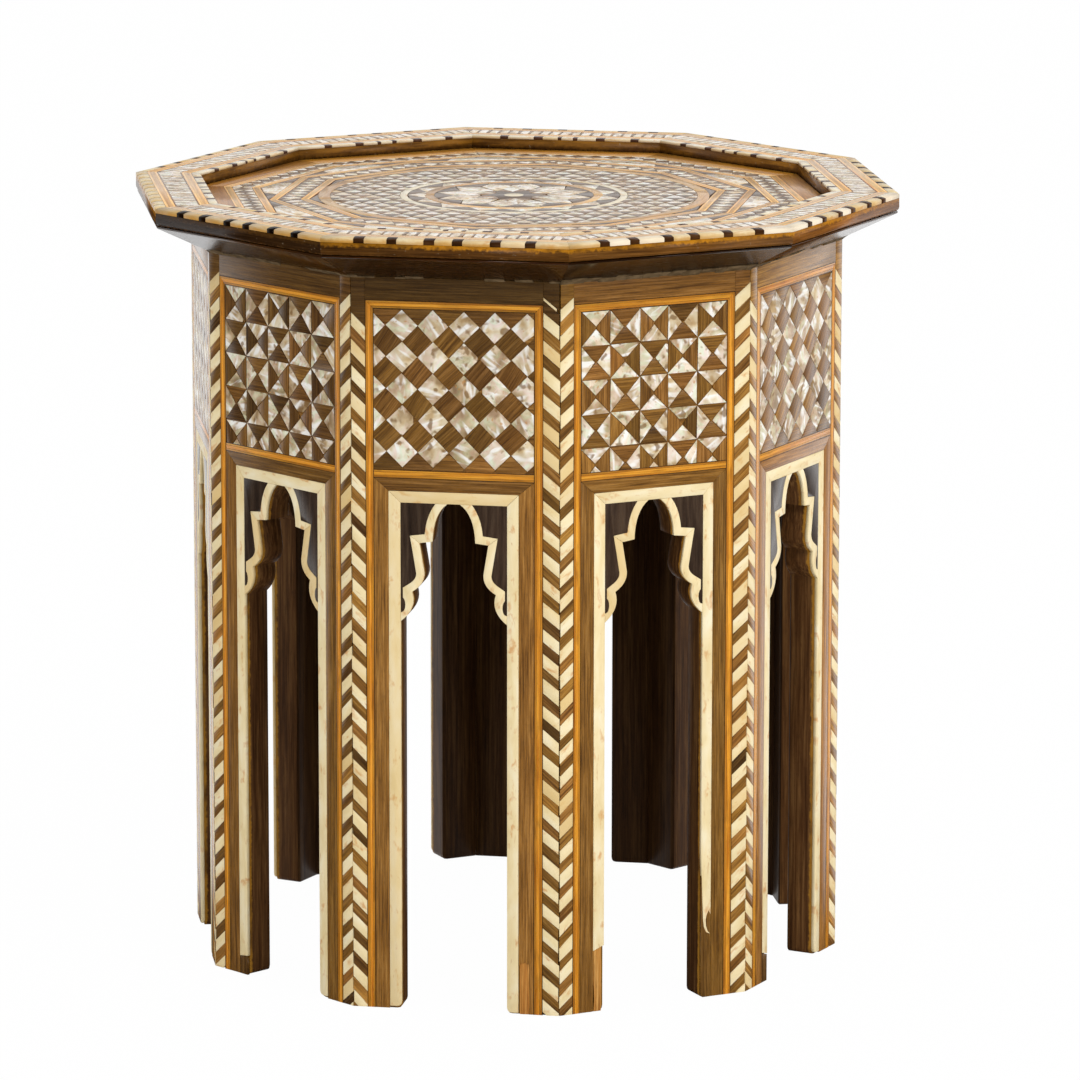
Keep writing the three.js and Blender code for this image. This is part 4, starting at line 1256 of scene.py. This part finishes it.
def starTiles(rng, turn):
    # rings of the middle, from the bone ring inwards, turned with the trellis
    firstKite = turn + np.radians(tray["firstKite"])

    def lay(kind, outline, grain, *looks):
        addTile(trayTiles[kind], rng, outline, grain, *looks)

    for kind, key in (("bone", "boneRing"), ("amber", "amberRing")):
        outer, inner, count, light = tray[key]
        for start in turn + np.arange(count) * 2 * np.pi / count:
            ring = ringTile(inner, outer, start, start + 2 * np.pi / count, tray["ringSteps"])
            lay(kind, ring, start + np.pi / 2, light)
    for key, first, reach, shares in (
        ("zigzag", turn, 0.0, (-0.5, 0, 0.5)), ("kiteRing", firstKite, tray["kiteReach"], (-0.5, -0.25, 0, 0.25, 0.5)),
    ):
        outer, inner, count = tray[key]
        step = 2 * np.pi / count
        for a in first + np.arange(count) * step:
            tooth = [spot(inner, a), spot(outer, a + step / 2), spot(inner, a + step)]
            lay("pearl", tooth, a, tray["pearlLight"])
            between = [spot(outer + reach, a + share * step) for share in shares]
            lay("dark", [*between, spot(inner, a)], a, tray["darkLight"])
    # six-pointed star, a pearl petal in each of its valleys and four pieces about each point
    point, valley = tray["star"]
    far, wide, spread = tray["petal"]
    star, s, kiteIn = [], np.radians(spread), tray["kiteRing"][1]
    for a in firstKite + np.arange(6) * np.pi / 3:
        b = a + np.pi / 6
        star += [spot(point, a), spot(valley, b)]
        lay("pearl", [spot(valley, b), spot(wide, b + s), spot(far, b), spot(wide, b - s)], b, 0.7)
        for sign in (-1, 1):
            c, side = a + sign * np.pi / 6, a + sign * (np.pi / 6 - s)
            lay("walnut", [spot(point, a), spot(valley, c), spot(wide, side)], a + 0.6, 0.9, 0.05)
            edge = [spot(kiteIn, a + sign * share * np.pi / 6) for share in tray["edgeShares"]]
            lay("pearl", [spot(wide, side), spot(far, c), *edge, spot(point + 1.5, a + sign * 0.05)], c, 0.55)
    lay("dark", star, 0.0)
    radius, steps = tray["eye"]
    lay("bone", [spot(radius, a) for a in np.linspace(0, 2 * np.pi, steps + 1)[:-1]], 0.0, 0.8)


trayRng = np.random.default_rng(seed + 300)
trellisTiles(trayRng, np.radians(tray["trellisTurn"]))
starTiles(trayRng, np.radians(tray["trellisTurn"]))
corners = np.array([spot(1.0, k * stepAngle) for k in range(sideCount)]) * tray["edge"] / np.cos(halfAngle)
level, veneer = topAxes(0.0), tray["veneer"]
groundPart = prisms([(corners, 0.0, bedTone)], level, trayTop - veneer, tray["ground"], trayRng, joint=0.0)
makePiece("tray_ground", glue, groundPart, ["tray_panel"])
trayStrings = ["tray_outer_stringing", "tray_turned_stringing", "tray_circle_ring"]
for name, slotName, finish, kind, replaced, sink, *laid in (
    ("tray_walnut", "walnut", walnutTop, "walnut", [], 0.0, 0.1),
    ("tray_border", "walnut", borderWood, "border", [], 0.0, 0.1),
    ("tray_amber", "amber_wood", amberTop, "amber", trayStrings, 0.0, 0.0, 0.03),
    ("tray_dark_lines", "ebony", darkLineTop, "lines", [], 0.04, 0.0, 0.04),
    ("tray_pearl", "pearl", pearlTop, "pearl", [], 0.0, 0.24),
    ("tray_bone", "bone", boneTop, "bone", [], 0.0),
    ("tray_ebony", "ebony", medallionWood, "dark", [], 0.02, 0.1),
):
    parts = prisms(trayTiles[kind], level, trayTop - sink, veneer, trayRng, *laid)
    makePiece(name, finish, parts, replaced)
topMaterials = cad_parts["top_board"].data.materials
topMaterials.clear()
topMaterials.append(boardWood)
print("tray laid")

# Floor, light and camera
stage = {
    "floorHalf": 9.0, "floorShade": paint(246, 246, 246), "floorWhite": 0.985, "white": (1.0, 1.0, 1.0, 1.0),
    "ambient": 0.8, "keyPower": 60.0, "keySize": 2.4, "keyPlace": (2.7, -2.05, 2.85), "keyTarget": (0, 0, 0.3),
    # brightness in reflections, from the darkest direction to the brightest with the range of the
    # step between them, and the sky's share of it high up, reached between two heights
    "skyMirrored": (0.06, 1.0), "floorMirrored": (0.04, 1.25), "brightWay": (-0.08, 0.997, 0.0),
    "brightStep": (-0.1, 0.6), "highShare": 0.8, "highFrom": (0.17, 0.3),
}
view = {
    "distance": 4.30448, "height": 1.16433, "pitch": 0.2063995, "yaw": 0.0039928, "roll": 0.0011623,
    "turn": 0.1798187, "lens": 223.896, "sensor": 36.0, "reach": 60.0,
}


def mapRange(field, low, high, fromLow=0.0, fromHigh=1.0, **settings):
    inputs = {0: field, 1: fromLow, 2: fromHigh, 3: low, 4: high}
    return addNode(field.tree, "MapRange", inputs, **settings)


def mirroredLight(way, limits):
    # smooth step of how far a direction points along the bright way
    facing = vectorMath("DOT_PRODUCT", way, stage["brightWay"], output="Value")
    return mapRange(facing, *limits, *stage["brightStep"], interpolation_type="SMOOTHSTEP")


def rayIs(tree, kind):
    return addNode(tree, "LightPath", output=f"Is {kind} Ray")


def emptyTree(owner):
    owner.use_nodes = True
    owner.node_tree.nodes.clear()
    return owner.node_tree


def placed(name, data, matrix):
    made = bpy.data.objects.new(name, data)
    bpy.context.scene.collection.objects.link(made)
    made.matrix_world = Matrix(matrix.tolist())
    return made


def makeFloor():
    # matt to the light, white to the camera, and bright on one side in reflections
    size = stage["floorHalf"]
    mesh = bpy.data.meshes.new("floor")
    mesh.from_pydata([(-size, -size, 0), (size, -size, 0), (size, size, 0), (-size, size, 0)], [], [(0, 1, 2, 3)])
    material = bpy.data.materials.new("paleFloor")
    tree = emptyTree(material)
    matt = addNode(tree, "BsdfDiffuse", {"Color": stage["floorShade"]})
    white = addNode(tree, "Emission", {"Color": stage["white"], "Strength": 1.0})
    way = vectorMath("NORMALIZE", addNode(tree, "NewGeometry", output="Position"))
    mirror = addNode(tree, "Emission", {"Strength": mirroredLight(way, stage["floorMirrored"])})
    mixed = addNode(tree, "MixShader", {0: rayIs(tree, "Camera") * stage["floorWhite"], 1: matt, 2: white})
    mixed = addNode(tree, "MixShader", {0: rayIs(tree, "Glossy"), 1: mixed, 2: mirror})
    addNode(tree, "OutputMaterial", {"Surface": mixed})
    mesh.materials.append(material)
    placed("floor", mesh, np.eye(4))


def makeWorld():
    # white to the camera and, on the bright side, in reflections; softer as light
    world = bpy.data.worlds.new("studio")
    bpy.context.scene.world = world
    tree = emptyTree(world)
    world.cycles.sampling_method = "NONE"  # an even sky needs no sampling of its own
    way = addNode(tree, "TexCoord", output="Generated")
    rise = addNode(tree, "SeparateXYZ", {"Vector": way}, "Z")
    mirror = mirroredLight(way, stage["skyMirrored"]) * mapRange(rise, 1.0, stage["highShare"], *stage["highFrom"])
    strength = mapRange(rayIs(tree, "Glossy"), stage["ambient"], mirror)
    seen = addMath("MAXIMUM", rayIs(tree, "Camera"), rayIs(tree, "Transmission"))
    light = addNode(tree, "Background", {"Color": stage["white"], "Strength": mapRange(seen, strength, 1.0)})
    addNode(tree, "OutputWorld", {"Surface": light})


def makeLamp(name, place, target, size, power):
    away = np.array(place) - np.array(target)
    away /= np.linalg.norm(away)
    right = np.cross([0, 0, 1], away)
    right /= np.linalg.norm(right)
    matrix = np.eye(4)
    matrix[:3] = np.stack([right, np.cross(away, right), away, np.array(place)], 1)
    data = bpy.data.lights.new(name, "AREA")
    data.shape, data.size, data.energy = "DISK", size, power
    placed(name, data, matrix)


def makeCamera():
    # looks along yaw and downwards by pitch from its distance, rolled a little, and the whole is
    # turned about the table's axis
    pitch, yaw, roll, turn = (view[key] for key in ("pitch", "yaw", "roll", "turn"))
    right = np.array([np.cos(yaw), -np.sin(yaw), 0])
    forward = np.array([np.sin(yaw) * np.cos(pitch), np.cos(yaw) * np.cos(pitch), -np.sin(pitch)])
    up = np.array([np.sin(yaw) * np.sin(pitch), np.cos(yaw) * np.sin(pitch), np.cos(pitch)])
    rolledRight = np.cos(roll) * right + np.sin(roll) * up
    rolledUp = np.cos(roll) * up - np.sin(roll) * right
    place = np.array([0, -view["distance"], view["height"]])
    about = np.array([[np.cos(turn), -np.sin(turn), 0], [np.sin(turn), np.cos(turn), 0], [0, 0, 1]])
    matrix = np.eye(4)
    matrix[:3] = about @ np.stack([rolledRight, rolledUp, -forward, place], 1)
    data = bpy.data.cameras.new("camera")
    data.lens, data.sensor_width, data.clip_end = view["lens"], view["sensor"], view["reach"]
    bpy.context.scene.camera = placed("camera", data, matrix)


makeFloor()
makeWorld()
makeLamp("keyLight", stage["keyPlace"], stage["keyTarget"], stage["keySize"], stage["keyPower"])
makeCamera()
bpy.context.scene.view_settings.view_transform = "Standard"
print("studio set")
